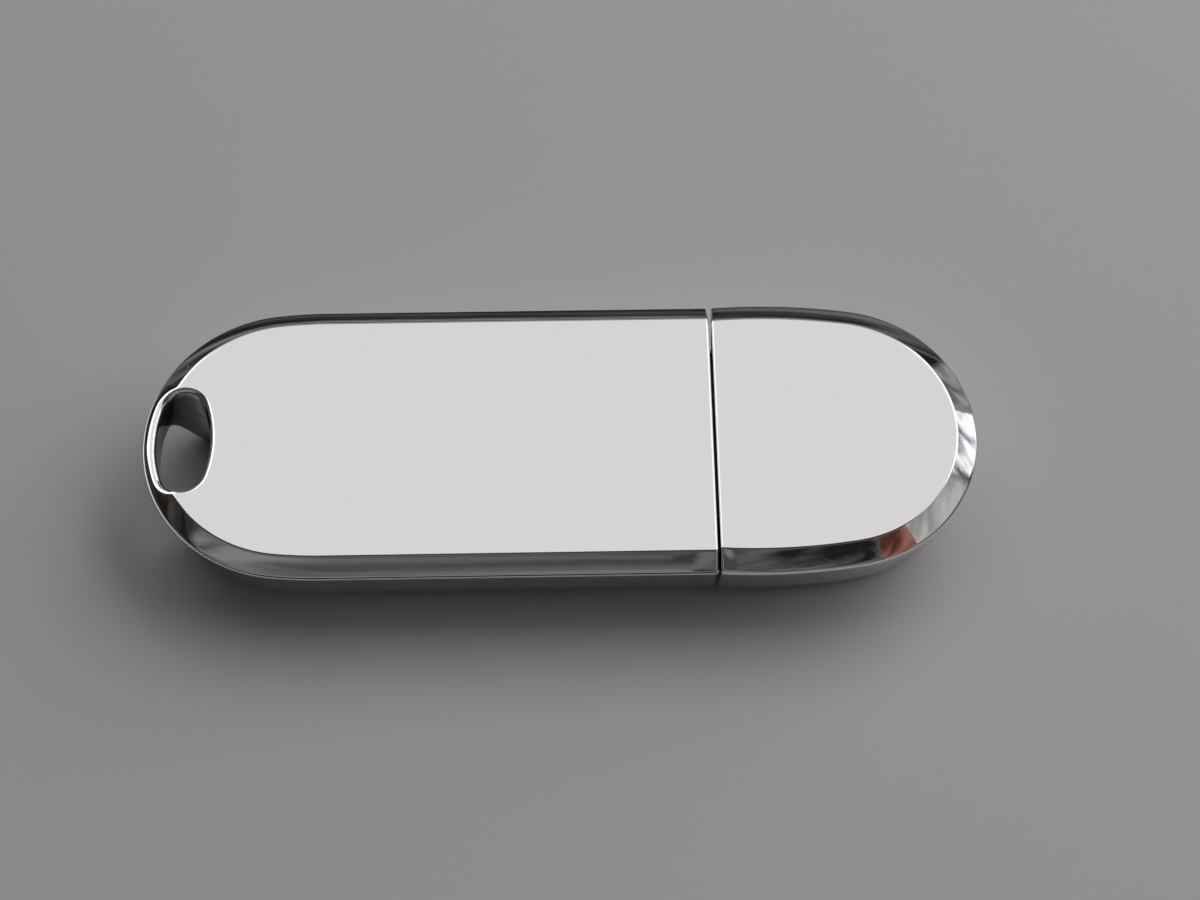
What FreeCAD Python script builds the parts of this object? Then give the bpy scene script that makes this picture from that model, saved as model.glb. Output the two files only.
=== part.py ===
import FreeCAD, Part

# A mirror-chromed USB flash drive with a pull-off cap, in millimetres.
# +X runs along the drive to the cap's tip, +Z points up, and the origin is the middle of the
# footprint on the surface that the drive lies on.
#
# The case is three castings. The cover and the lower shell meet at the ridge, the widest line
# round the drive, and the cap is one piece. A type A plug on a small board fills the body.

import math
import os
import re
import sys

import Sketcher

doc = FreeCAD.newDocument("FlashDrive")

# ---------------------------------------------------------------- driving dimensions

SIZES = {
    # case
    "case_length": 70.0,
    "case_height": 9.0,
    "body_width": 25.2,
    "cap_width": 25.5,
    "ridge_height": 7.9,
    "body_slope_width": 1.65,
    "cap_slope_width": 1.9,
    "flank_angle": 16.0,
    "belly_radius": 2.6,
    "body_side_end": 19.75,
    "body_side_radius": 38.0,
    "cap_crown_place": 16.5,
    "cap_side_radius": 52.0,
    "seam_place": 12.8,
    "seam_gap": 0.2,
    "edge_round": 0.2,
    "cap_ridge_round": 0.35,
    "parting_round": 0.1,
    # key-ring slot
    "slot_width": 4.6,
    "slot_length": 9.5,
    "slot_end_radius": 1.8,
    "slot_margin": 1.2,
    "sleeve_wall": 0.5,
    "sleeve_depth": 3.9,
    "sleeve_start": 32.4,
    # hollow of the lower shell
    "floor_height": 1.2,
    "shell_wall": 1.4,
    "hollow_end": 26.8,
    "hollow_corner": 4.5,
    "lip_depth": 1.6,
    "lip_wall": 0.8,
    "lip_setback": 0.6,
    "glide": 0.1,
    "peg_radius": 0.8,
    "peg_length": 3.4,
    "post_radius": 1.7,
    "post_height": 4.8,
    "post_place_x": 24.6,
    "post_place_y": 6.2,
    # plug
    "plug_width": 12.0,
    "plug_height": 4.5,
    "plug_level": 4.5,
    "plug_wall": 0.3,
    "plug_corner": 0.65,
    "plug_rear": 3.3,
    "plug_reach": 17.6,
    "window_side": 2.3,
    "window_pitch": 5.0,
    "window_setback": 6.2,
    "tab_length": 3.0,
    "tab_width": 1.4,
    "tongue_height": 1.8,
    "tongue_length": 12.0,
    "tongue_setback": 0.6,
    "contact_width": 1.0,
    "contact_thick": 0.2,
    "contact_nose": 0.35,
    "power_setback": 1.4,
    "data_setback": 2.4,
    "power_place": 3.5,
    "data_place": 1.0,
    "solder_foot": 1.8,
    # collar and cap
    "collar_thick": 1.8,
    "neck_width": 17.4,
    "neck_height": 5.8,
    "neck_reach": 1.5,
    "seat_width": 18.4,
    "seat_height": 6.6,
    "seat_depth": 8.5,
    "seat_corner": 1.8,
    "mid_width": 14.8,
    "mid_height": 6.0,
    "mid_depth": 14.0,
    "tip_depth": 17.9,
    "tip_width": 12.6,
    "tip_height": 5.1,
    "tip_corner": 0.9,
    "plug_play": 0.12,
    "liner_setback": 1.5,
    # board and its parts
    "board_length": 30.8,
    "board_width": 16.0,
    "board_thick": 1.0,
    "board_front": 9.0,
    "board_level": 3.2,
    "notch_depth": 6.0,
    "notch_play": 0.15,
    "tray_wall": 0.8,
    "tray_play": 0.15,
    "tray_floor": 0.6,
    "tray_front": 2.4,
    "tray_ledge": 0.8,
    "pin_radius": 0.45,
    "pin_place_x": 21.0,
    "pin_place_y": 6.9,
    "flash_length": 18.4,
    "flash_width": 12.0,
    "flash_thick": 0.9,
    "flash_place": 9.5,
    "chip_side": 7.0,
    "chip_thick": 1.4,
    "chip_place": 3.4,
    "stand_off": 0.05,
    "dimple_radius": 0.4,
    "dimple_depth": 0.1,
    "lead_pitch": 0.5,
    "lead_width": 0.22,
    "lead_thick": 0.12,
    "lead_shoulder": 0.2,
    "lead_slope": 0.2,
    "lead_foot": 0.5,
    "crystal_length": 10.2,
    "crystal_width": 3.8,
    "crystal_height": 2.9,
    "crystal_place": 16.0,
    "crystal_base_length": 11.4,
    "crystal_base_width": 4.7,
    "crystal_base_thick": 0.4,
    "regulator_length": 2.9,
    "regulator_width": 1.3,
    "regulator_thick": 1.0,
    "regulator_pitch": 0.95,
    "regulator_x": 10.4,
    "regulator_y": 4.4,
    "passive_length": 1.6,
    "passive_width": 0.8,
    "passive_pitch": 2.4,
    "passive_row": 6.0,
    "capacitor_thick": 0.8,
    "resistor_thick": 0.45,
    "film_length": 24.0,
    "film_width": 14.0,
    "film_thick": 0.1,
    "foam_side": 6.0,
}

sheet = doc.addObject("Spreadsheet::Sheet", "Sizes")
for row, (alias, value) in enumerate(SIZES.items(), start=1):
    sheet.set("A%d" % row, alias)
    sheet.set("B%d" % row, str(value))
    sheet.setAlias("B%d" % row, alias)
doc.recompute()

# Lengths that follow from the driving dimensions, as expressions over the sheet.
BODY_END = "(seam_place - seam_gap / 2)"
CAP_START = "(seam_place + seam_gap / 2)"
PLUG_TIP = "(seam_place + plug_reach)"
SLOT_X = "(-case_length / 2 + slot_margin + slot_width / 2)"
SLEEVE_END = "(case_height - sleeve_depth)"
BOARD_TOP = "(board_level + board_thick)"
PLUG_FLOOR = "(plug_level - plug_height / 2 + plug_wall)"
TONGUE_TOP = "(plug_level - plug_height / 2 + plug_wall + tongue_height)"
TONGUE_END = "(seam_place + plug_reach - tongue_setback)"
HOLLOW_HALF = "(body_width / 2 - shell_wall)"


def over_sheet(text):
    """Point every size named in an expression at its cell of the sheet."""
    return re.sub(r"[a-z]\w*", lambda word: "Sizes." + word[0] if word[0] in SIZES else word[0], text)


def bind(thing, field, text):
    """Bind a property of a document object to an expression over the sheet."""
    thing.setExpression(field, over_sheet(text))


def number(text):
    """The present value of an expression over the sheet."""
    return float(sheet.evalExpression(over_sheet(text)))


# ---------------------------------------------------------------- sketches

ORIGIN = -1
START, END, CENTRE = 1, 2, 3
NEAR = 1e-4


def put(thing, place):
    """Bind an object's position to three expressions."""
    for axis, text in zip("xyz", place):
        bind(thing, "Placement.Base." + axis, text)


def new_body(label, place=None):
    """A PartDesign body; place holds the expressions of its position."""
    body = doc.addObject("PartDesign::Body", label)
    body.Label = label
    body.AllowCompound = True
    if place:
        put(body, place)
    return body


def origin_item(body, role):
    """One of the body's own origin planes or axes."""
    return next(item for item in body.Origin.OriginFeatures if item.Role == role)


def new_sketch(body, role, height="0"):
    """A sketch on one of the body's origin planes, raised along the plane's normal."""
    sketch = body.newObject("Sketcher::SketchObject", body.Label + "_sketch")
    sketch.AttachmentSupport = [(origin_item(body, role), "")]
    sketch.MapMode = "FlatFace"
    bind(sketch, "AttachmentOffset.Base.z", height)
    return sketch


def point(x, y):
    """A sketch point at the values of two expressions."""
    return FreeCAD.Vector(number(x), number(y), 0)


def arc(centre, radius, start, end):
    """An arc between two angles in degrees, counter-clockwise."""
    whole = Part.Circle(centre, FreeCAD.Vector(0, 0, 1), radius)
    return Part.ArcOfCircle(whole, math.radians(start), math.radians(end))


def rule(sketch, kind, *where):
    """Add a geometric constraint, which has no value."""
    sketch.addConstraint(Sketcher.Constraint(kind, *where))


def size(sketch, kind, *where):
    """Add a dimension whose value is the expression that comes last."""
    *where, text = where
    index = sketch.addConstraint(Sketcher.Constraint(kind, *where, number(text)))
    bind(sketch, "Constraints[%d]" % index, text)


def pin_x(sketch, edge, spot, text):
    """Hold a point of a sketch edge at a distance along the sketch's first axis."""
    size(sketch, "DistanceX", ORIGIN, START, edge, spot, text)


def pin_y(sketch, edge, spot, text):
    """Hold a point of a sketch edge at a distance along the sketch's second axis."""
    size(sketch, "DistanceY", ORIGIN, START, edge, spot, text)


def polygon(sketch, corners):
    """A closed polygon whose corners are pairs of expressions."""
    spots = [point(x, y) for x, y in corners]
    first = sketch.GeometryCount
    for start, end in zip(spots, spots[1:] + spots[:1]):
        sketch.addGeometry(Part.LineSegment(start, end), False)
    for i, (x, y) in enumerate(corners):
        rule(sketch, "Coincident", first + i, END, first + (i + 1) % len(corners), START)
        pin_x(sketch, first + i, START, x)
        pin_y(sketch, first + i, START, y)


def rectangle(sketch, low_x, low_y, high_x, high_y):
    """A rectangle between two corners."""
    polygon(sketch, [(low_x, low_y), (high_x, low_y), (high_x, high_y), (low_x, high_y)])


def circle(sketch, x, y, radius):
    """A circle about a point."""
    whole = Part.Circle(point(x, y), FreeCAD.Vector(0, 0, 1), number(radius))
    edge = sketch.addGeometry(whole, False)
    pin_x(sketch, edge, CENTRE, x)
    pin_y(sketch, edge, CENTRE, y)
    size(sketch, "Radius", edge, radius)


def rounded_rectangle(sketch, x, y, width, height, radius):
    """A rectangle with round corners about a middle point."""
    half_x, half_y, r = number(width) / 2, number(height) / 2, number(radius)
    middle = point(x, y)
    first = sketch.GeometryCount
    for turn, (side_x, side_y) in enumerate([(1, 1), (-1, 1), (-1, -1), (1, -1)]):
        corner = FreeCAD.Vector(side_x * (half_x - r), side_y * (half_y - r), 0)
        sketch.addGeometry(arc(middle + corner, r, 90 * turn, 90 * turn + 90), False)
    for turn in range(4):
        before, after = first + turn, first + (turn + 1) % 4
        ends = sketch.getPoint(before, END), sketch.getPoint(after, START)
        line = sketch.addGeometry(Part.LineSegment(*ends), False)
        rule(sketch, "Tangent", before, END, line, START)
        rule(sketch, "Tangent", line, END, after, START)
        rule(sketch, "Vertical" if turn % 2 else "Horizontal", line)
    for turn in (1, 2, 3):
        rule(sketch, "Equal", first, first + turn)
    size(sketch, "Radius", first, radius)
    pin_x(sketch, first, START, "(%s) + (%s) / 2" % (x, width))
    pin_y(sketch, first, END, "(%s) + (%s) / 2" % (y, height))
    pin_x(sketch, first + 1, END, "(%s) - (%s) / 2" % (x, width))
    pin_y(sketch, first + 2, END, "(%s) - (%s) / 2" % (y, height))


def oval(sketch, margin="0"):
    """The key-ring slot, grown by a margin: two side arcs and two end arcs, all tangent."""
    width = "(slot_width / 2 + %s)" % margin
    length = "(slot_length / 2 + %s)" % margin
    end = "(slot_end_radius + %s)" % margin
    # The side arcs' radius that makes them tangent to the end arcs.
    side = "(((%s - %s)^2 + %s^2 - %s^2) / (2 * (%s - %s)))" % (length, end, width, end, width, end)
    x, half_width, half_length = number(SLOT_X), number(width), number(length)
    small, large = number(end), number(side)
    half = math.degrees(math.atan2(half_length - small, large - half_width))
    first = sketch.GeometryCount
    for piece in [
        (FreeCAD.Vector(x + half_width - large, 0, 0), large, -half, half),
        (FreeCAD.Vector(x, half_length - small, 0), small, half, 180 - half),
        (FreeCAD.Vector(x - half_width + large, 0, 0), large, 180 - half, 180 + half),
        (FreeCAD.Vector(x, small - half_length, 0), small, 180 + half, 360 - half),
    ]:
        sketch.addGeometry(arc(*piece), False)
    for i in range(4):
        rule(sketch, "Tangent", first + i, END, first + (i + 1) % 4, START)
    rule(sketch, "Equal", first, first + 2)
    rule(sketch, "Equal", first + 1, first + 3)
    size(sketch, "Radius", first, side)
    size(sketch, "Radius", first + 1, end)
    pin_x(sketch, first + 1, CENTRE, SLOT_X)
    pin_x(sketch, first + 3, CENTRE, SLOT_X)
    pin_y(sketch, first + 1, CENTRE, "%s - %s" % (length, end))


def tip_radius(reach, half_width, side_radius):
    """The radius of a tip arc tangent to both side arcs; reach runs from their crown to the tip."""
    across = "(%s - %s)" % (side_radius, half_width)
    return "((%s^2 - %s^2 - %s^2) / (2 * (%s - %s)))" % (side_radius, across, reach, side_radius, reach)


def body_outline(sketch):
    """The body at the ridge, carried on past the seam: straight sides, side arcs and a tip arc."""
    tip = tip_radius("(case_length / 2 - body_side_end)", "(body_width / 2)", "body_side_radius")
    width, large, small = number("body_width / 2"), number("body_side_radius"), number(tip)
    crown, front = number("-body_side_end"), number("seam_place + case_height")
    tip_centre = small - number("case_length / 2")
    turn = math.degrees(math.atan2(large - width, tip_centre - crown))
    for edge in [
        Part.LineSegment(FreeCAD.Vector(front, width, 0), FreeCAD.Vector(crown, width, 0)),
        arc(FreeCAD.Vector(crown, width - large, 0), large, 90, turn),
        arc(FreeCAD.Vector(tip_centre, 0, 0), small, turn, 360 - turn),
        arc(FreeCAD.Vector(crown, large - width, 0), large, 360 - turn, 270),
        Part.LineSegment(FreeCAD.Vector(crown, -width, 0), FreeCAD.Vector(front, -width, 0)),
        Part.LineSegment(FreeCAD.Vector(front, -width, 0), FreeCAD.Vector(front, width, 0)),
    ]:
        sketch.addGeometry(edge, False)
    for i in range(4):
        rule(sketch, "Tangent", i, END, i + 1, START)
    rule(sketch, "Coincident", 4, END, 5, START)
    rule(sketch, "Coincident", 5, END, 0, START)
    rule(sketch, "Horizontal", 0)
    rule(sketch, "Horizontal", 4)
    rule(sketch, "Vertical", 5)
    rule(sketch, "Equal", 1, 3)
    rule(sketch, "PointOnObject", 2, CENTRE, ORIGIN)
    size(sketch, "Radius", 1, "body_side_radius")
    size(sketch, "Radius", 2, tip)
    pin_x(sketch, 0, END, "-body_side_end")
    pin_x(sketch, 0, START, "seam_place + case_height")
    pin_y(sketch, 0, END, "body_width / 2")
    pin_y(sketch, 4, START, "-body_width / 2")


def cap_outline(sketch):
    """The cap at the ridge, carried on past the seam: crowned side arcs and a tip arc."""
    tip = tip_radius("(case_length / 2 - cap_crown_place)", "(cap_width / 2)", "cap_side_radius")
    width, large, small = number("cap_width / 2"), number("cap_side_radius"), number(tip)
    crown, rear = number("cap_crown_place"), number("seam_place - case_height")
    tip_centre = number("case_length / 2") - small
    turn = math.degrees(math.atan2(large - width, tip_centre - crown))
    back = math.degrees(math.acos((rear - crown) / large))
    for edge in [
        arc(FreeCAD.Vector(crown, large - width, 0), large, 360 - back, 360 - turn),
        arc(FreeCAD.Vector(tip_centre, 0, 0), small, -turn, turn),
        arc(FreeCAD.Vector(crown, width - large, 0), large, turn, back),
    ]:
        sketch.addGeometry(edge, False)
    ends = sketch.getPoint(2, END), sketch.getPoint(0, START)
    sketch.addGeometry(Part.LineSegment(*ends), False)
    rule(sketch, "Tangent", 0, END, 1, START)
    rule(sketch, "Tangent", 1, END, 2, START)
    rule(sketch, "Coincident", 2, END, 3, START)
    rule(sketch, "Coincident", 3, END, 0, START)
    rule(sketch, "Vertical", 3)
    rule(sketch, "Equal", 0, 2)
    rule(sketch, "PointOnObject", 1, CENTRE, ORIGIN)
    size(sketch, "Radius", 0, "cap_side_radius")
    size(sketch, "Radius", 1, tip)
    pin_x(sketch, 0, CENTRE, "cap_crown_place")
    pin_y(sketch, 0, CENTRE, "cap_side_radius - cap_width / 2")
    pin_x(sketch, 3, START, "seam_place - case_height")


# ---------------------------------------------------------------- features

def pad(body, sketch, length, back=False, slant=None, both=False):
    """Pad a sketch along its normal, back against it, or half to both sides; slant narrows it."""
    feature = body.newObject("PartDesign::Pad", body.Label + "_pad")
    feature.Profile = sketch
    bind(feature, "Length", length)
    feature.Reversed = back
    feature.SideType = "Symmetric" if both else "One side"
    if slant:
        bind(feature, "TaperAngle", "-(%s)" % slant)
    doc.recompute()
    return feature


def pocket(body, sketch, depth=None, ahead=False, slant=None):
    """Cut a sketch against its normal, or ahead along it; with no depth it cuts right through."""
    before = body.Shape.Volume
    feature = body.newObject("PartDesign::Pocket", body.Label + "_pocket")
    feature.Profile = sketch
    feature.Reversed = ahead
    if depth:
        bind(feature, "Length", depth)
    else:
        feature.Type = "ThroughAll"
    if slant:
        bind(feature, "TaperAngle", "-(%s)" % slant)
    doc.recompute()
    if not body.Shape.Volume < before - NEAR:
        sys.exit("%s cuts nothing" % feature.Name)
    return feature


def fillet(body, base, radius, wanted):
    """Round those edges of the last feature whose bounding boxes pass a test."""
    names = ["Edge%d" % i for i, edge in enumerate(base.Shape.Edges, 1) if wanted(edge.BoundBox)]
    feature = body.newObject("PartDesign::Fillet", body.Label + "_fillet")
    feature.Base = (base, names)
    bind(feature, "Radius", radius)
    doc.recompute()
    return feature


def repeat(body, feature, axis, run, count):
    """Repeat a feature along one of the body's origin axes; run is the distance to the last one."""
    row = body.newObject("PartDesign::LinearPattern", body.Label + "_row")
    row.Originals = [feature]
    row.Direction = (origin_item(body, axis), [""])
    bind(row, "Length", run)
    row.Occurrences = count
    body.Tip = row
    doc.recompute()
    return row


def at(height, wanted):
    """Whether a height is the wanted one."""
    return abs(height - wanted) < NEAR


def block(label, low, sides):
    """A rectangular block from its lowest corner; every size is an expression."""
    solid = doc.addObject("Part::Box", label)
    for field, text in zip(("Length", "Width", "Height"), sides):
        bind(solid, field, text)
    put(solid, low)
    return solid


# ---------------------------------------------------------------- case

def cut_at_seam(body, place, ahead):
    """Cut away what a casting has past its own side of the seam."""
    sketch = new_sketch(body, "YZ_Plane", place)
    rectangle(sketch, "-body_width", "-case_height", "body_width", "2 * case_height")
    return pocket(body, sketch, "4 * case_height", ahead=ahead)


def round_ridge(body, base, radius):
    """Soften a casting's outer edges where they lie at the ridge."""
    ridge = number("ridge_height")
    return fillet(body, base, radius, lambda box: at(box.ZMin, ridge) and at(box.ZMax, ridge))


def round_seam(body, base, place, parting=True):
    """Soften a casting's outer edges where it ends at the seam, all but its parting edge."""
    seam, ridge = number(place), number("ridge_height")
    return fillet(body, base, "edge_round", lambda box: (
        at(box.XMin, seam) and at(box.XMax, seam)
        and not (parting and at(box.ZMin, ridge) and at(box.ZMax, ridge))))


def make_upper_cover():
    """The flat cover: sloped rim, upper part of the slot, two lips and two pegs below."""
    body = new_body("upper_cover")
    outline = new_sketch(body, "XY_Plane", "ridge_height")
    body_outline(outline)
    rise = "(case_height - ridge_height)"
    plate = pad(body, outline, rise, slant="atan(body_slope_width / %s)" % rise)
    round_ridge(body, plate, "parting_round")
    end = cut_at_seam(body, BODY_END, ahead=True)
    round_seam(body, end, BODY_END)

    lips = new_sketch(body, "XY_Plane", "ridge_height")
    side = "(%s - lip_setback)" % HOLLOW_HALF
    rear = "-(hollow_end - 2 * hollow_corner)"
    front = BODY_END + " - collar_thick - glide"
    rectangle(lips, rear, side + " - lip_wall", front, side)
    rectangle(lips, rear, "-" + side, front, "lip_wall - " + side)
    pad(body, lips, "lip_depth", back=True)

    sleeve = new_sketch(body, "XY_Plane", "ridge_height")
    oval(sleeve, "sleeve_wall")
    pad(body, sleeve, "ridge_height - " + SLEEVE_END, back=True)
    trim = new_sketch(body, "XY_Plane", "ridge_height")
    rectangle(trim, "-case_length", "-body_width", "-sleeve_start", "body_width")
    pocket(body, trim, "case_height")

    pegs = new_sketch(body, "XY_Plane", "ridge_height")
    for side in ("", "-"):
        circle(pegs, "-post_place_x", side + "post_place_y", "peg_radius")
    pad(body, pegs, "peg_length", back=True)

    slot = new_sketch(body, "XY_Plane", "case_height")
    oval(slot)
    cut = pocket(body, slot)
    top, rear = number("case_height"), number("-body_side_end")
    fillet(body, cut, "edge_round", lambda box: at(box.ZMin, top) and box.XMax < rear)
    return body


def make_lower_shell():
    """The lower casting: drafted flank, rounded belly, hollow, slot and two peg posts."""
    body = new_body("lower_shell")
    outline = new_sketch(body, "XY_Plane", "ridge_height")
    body_outline(outline)
    hull = pad(body, outline, "ridge_height", back=True, slant="flank_angle")
    hull = fillet(body, hull, "belly_radius", lambda box: at(box.ZMax, 0) and box.XMin < number(BODY_END))
    round_ridge(body, hull, "parting_round")
    end = cut_at_seam(body, BODY_END, ahead=True)
    round_seam(body, end, BODY_END)

    hollow = new_sketch(body, "XY_Plane", "ridge_height")
    rounded_rectangle(hollow, "(seam_place - hollow_end + case_height) / 2", "0",
                      "seam_place + hollow_end + case_height", "2 * " + HOLLOW_HALF, "hollow_corner")
    pocket(body, hollow, "ridge_height - floor_height", slant="flank_angle")

    posts = new_sketch(body, "XY_Plane", "floor_height")
    sockets = new_sketch(body, "XY_Plane", "floor_height + post_height")
    for side in ("", "-"):
        circle(posts, "-post_place_x", side + "post_place_y", "post_radius")
        circle(sockets, "-post_place_x", side + "post_place_y", "peg_radius + glide / 2")
    pad(body, posts, "post_height")
    pocket(body, sockets, "floor_height + post_height + peg_length - ridge_height + glide")

    recess = new_sketch(body, "XY_Plane", "ridge_height")
    side = "(slot_length / 2 + sleeve_wall + glide / 2)"
    rectangle(recess, "-sleeve_start - glide / 2", "-" + side,
              SLOT_X + " + slot_width / 2 + sleeve_wall + glide / 2", side)
    pocket(body, recess, "ridge_height - " + SLEEVE_END)
    slot = new_sketch(body, "XY_Plane", "ridge_height")
    oval(slot)
    pocket(body, slot)
    return body


def make_plug_collar():
    """The bezel round the plug: a flange in the body's mouth and a neck that centres the cap."""
    body = new_body("plug_collar")
    flange = new_sketch(body, "YZ_Plane", BODY_END + " - collar_thick")
    upper = "(%s - glide)" % HOLLOW_HALF
    lower = "(%s - (ridge_height - floor_height) * tan(flank_angle))" % upper
    polygon(flange, [("-" + lower, "floor_height"), (lower, "floor_height"),
                     (upper, "ridge_height"), ("-" + upper, "ridge_height")])
    pad(body, flange, "collar_thick")
    neck = new_sketch(body, "YZ_Plane", BODY_END)
    rounded_rectangle(neck, "0", "plug_level", "neck_width", "neck_height", "seat_corner")
    pad(body, neck, "neck_reach")
    mouth = new_sketch(body, "YZ_Plane", BODY_END + " + neck_reach")
    rounded_rectangle(mouth, "0", "plug_level", "plug_width + glide", "plug_height + glide",
                      "plug_corner + glide / 2")
    pocket(body, mouth)
    return body


def make_cap_shell():
    """The one-piece cap: sloped rim, drafted flank, rounded belly and a stepped bore."""
    body = new_body("cap_shell")
    outline = new_sketch(body, "XY_Plane", "ridge_height")
    cap_outline(outline)
    hull = pad(body, outline, "ridge_height", back=True, slant="flank_angle")
    fillet(body, hull, "belly_radius", lambda box: at(box.ZMax, 0) and box.XMax > number(CAP_START))
    rim = new_sketch(body, "XY_Plane", "ridge_height")
    cap_outline(rim)
    rise = "(case_height - ridge_height)"
    hull = pad(body, rim, rise, slant="atan(cap_slope_width / %s)" % rise)
    round_ridge(body, hull, "cap_ridge_round")
    end = cut_at_seam(body, CAP_START, ahead=False)
    round_seam(body, end, CAP_START, parting=False)

    steps = [
        ("seat_width", "seat_height", "seat_depth", "seat_corner"),
        ("mid_width", "mid_height", "mid_depth", "seat_corner"),
        ("tip_width", "tip_height", "tip_depth", "tip_corner"),
    ]
    for width, height, depth, corner in steps:
        bore = new_sketch(body, "YZ_Plane", CAP_START)
        rounded_rectangle(bore, "0", "plug_level", width, height, corner)
        pocket(body, bore, depth, ahead=True)
    return body


def make_cap_liner():
    """The plastic insert that grips the plug, stepped like the cap's bore."""
    body = new_body("cap_liner")
    face = CAP_START + " + liner_setback"
    wide = new_sketch(body, "YZ_Plane", face)
    rounded_rectangle(wide, "0", "plug_level", "seat_width - glide", "seat_height - glide",
                      "seat_corner - glide / 2")
    pad(body, wide, "seat_depth - liner_setback - glide")
    narrow = new_sketch(body, "YZ_Plane", face)
    rounded_rectangle(narrow, "0", "plug_level", "mid_width - glide", "mid_height - glide",
                      "seat_corner - glide / 2")
    pad(body, narrow, "mid_depth - liner_setback - glide")
    hole = new_sketch(body, "YZ_Plane", face)
    rounded_rectangle(hole, "0", "plug_level", "plug_width + 2 * plug_play",
                      "plug_height + 2 * plug_play", "plug_corner + plug_play")
    pocket(body, hole, ahead=True)
    return body


# ---------------------------------------------------------------- plug

def make_plug_shell():
    """The stamped tube of the type A plug: four latch windows and two solder tabs."""
    body = new_body("usb_plug_shell")
    section = new_sketch(body, "YZ_Plane", "plug_rear")
    rounded_rectangle(section, "0", "plug_level", "plug_width", "plug_height", "plug_corner")
    rounded_rectangle(section, "0", "plug_level", "plug_width - 2 * plug_wall",
                      "plug_height - 2 * plug_wall", "plug_corner - plug_wall")
    pad(body, section, "%s - plug_rear" % PLUG_TIP)
    windows = new_sketch(body, "XY_Plane", "plug_level + plug_height")
    x = PLUG_TIP + " - window_setback"
    for side in ("", "-"):
        y = side + "window_pitch / 2"
        rectangle(windows, x + " - window_side / 2", y + " - window_side / 2",
                  x + " + window_side / 2", y + " + window_side / 2")
    pocket(body, windows)
    tabs = new_sketch(body, "XY_Plane", BOARD_TOP)
    rear = "plug_rear + tab_length / 2"
    inner = "(plug_width / 2 - plug_wall / 2)"
    outer = "(plug_width / 2 + tab_width)"
    rectangle(tabs, rear, inner, rear + " + tab_length", outer)
    rectangle(tabs, rear, "-" + outer, rear + " + tab_length", "-" + inner)
    pad(body, tabs, "plug_wall")
    return body


def make_plug_insulator():
    """The plastic tongue, with a block behind it and a channel for each contact."""
    body = new_body("plug_insulator")
    rear, step = "(plug_rear + glide)", "(%s - tongue_length)" % TONGUE_END
    section = new_sketch(body, "YZ_Plane", rear)
    rounded_rectangle(section, "0", "plug_level", "plug_width - 2 * plug_wall - glide",
                      "plug_height - 2 * plug_wall", "plug_corner - plug_wall")
    pad(body, section, "%s - %s" % (TONGUE_END, rear))
    space = new_sketch(body, "XY_Plane", TONGUE_TOP + " + plug_height")
    rectangle(space, step, "-plug_width", "case_length", "plug_width")
    pocket(body, space, "plug_height")
    channels = new_sketch(body, "YZ_Plane", "plug_rear")
    half = "(contact_width / 2 + glide / 4)"
    for place in ("power_place", "data_place"):
        for side in ("", "-"):
            middle = side + place
            rectangle(channels, "%s - %s" % (middle, half), BOARD_TOP,
                      "%s + %s" % (middle, half), BOARD_TOP + " + contact_thick + glide / 4")
    pocket(body, channels, ahead=True)
    return body


def make_contact(label, place, setback):
    """One plated contact strip: its tail lies on the board and its nose on the tongue."""
    body = new_body(label, ("0", place, BOARD_TOP))
    strip = new_sketch(body, "XZ_Plane")
    tail = "(board_front - notch_depth - solder_foot)"
    nose = "(%s - %s)" % (TONGUE_END, setback)
    polygon(strip, [(tail, "0"), (nose, "0"), (nose, "contact_thick / 2"),
                    (nose + " - contact_nose", "contact_thick"), (tail, "contact_thick")])
    pad(body, strip, "contact_width", both=True)
    return body


def make_contacts():
    """The four contacts, in the order of the type A plug."""
    return [
        make_contact("contact_vbus", "power_place", "power_setback"),
        make_contact("contact_data_minus", "data_place", "data_setback"),
        make_contact("contact_data_plus", "-data_place", "data_setback"),
        make_contact("contact_ground", "-power_place", "power_setback"),
    ]


# ---------------------------------------------------------------- board

def make_circuit_board():
    """The board: a notch in front for the plug, and two holes for the tray's pins."""
    body = new_body("circuit_board", ("0", "0", "board_level"))
    outline = new_sketch(body, "XY_Plane")
    rear, notch = "board_front - board_length", "board_front - notch_depth"
    half, gap = "board_width / 2", "(plug_width / 2 + notch_play)"
    polygon(outline, [(rear, "-" + half), ("board_front", "-" + half), ("board_front", "-" + gap),
                      (notch, "-" + gap), (notch, gap), ("board_front", gap),
                      ("board_front", half), (rear, half)])
    pad(body, outline, "board_thick")
    holes = new_sketch(body, "XY_Plane", "board_thick")
    for side in ("", "-"):
        circle(holes, "-pin_place_x", side + "pin_place_y", "pin_radius + glide / 2")
    pocket(body, holes)
    return body


def make_board_carrier():
    """The plastic tray: a ledge all round for the board, two pins, and room for the chip below."""
    body = new_body("board_carrier", ("0", "0", "floor_height"))
    rear = "(board_front - board_length - tray_play - tray_wall)"
    half = "(board_width / 2 + tray_play + tray_wall)"
    outline = new_sketch(body, "XY_Plane")
    rectangle(outline, rear, "-" + half, "tray_front", half)
    pad(body, outline, "board_level + board_thick - floor_height")
    seat = new_sketch(body, "XY_Plane", "board_level + board_thick - floor_height")
    inner = "(%s - tray_wall)" % half
    rectangle(seat, rear + " + tray_wall", "-" + inner, "board_front", inner)
    pocket(body, seat, "board_thick")
    well = new_sketch(body, "XY_Plane", "board_level - floor_height")
    well_half = "(%s - tray_ledge)" % inner
    rectangle(well, rear + " + tray_wall + 2 * tray_ledge", "-" + well_half,
              "tray_front - tray_ledge", well_half)
    pocket(body, well, "board_level - floor_height - tray_floor")
    pins = new_sketch(body, "XY_Plane", "board_level - floor_height")
    for side in ("", "-"):
        circle(pins, "-pin_place_x", side + "pin_place_y", "pin_radius")
    pad(body, pins, "board_thick")
    return body


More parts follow.
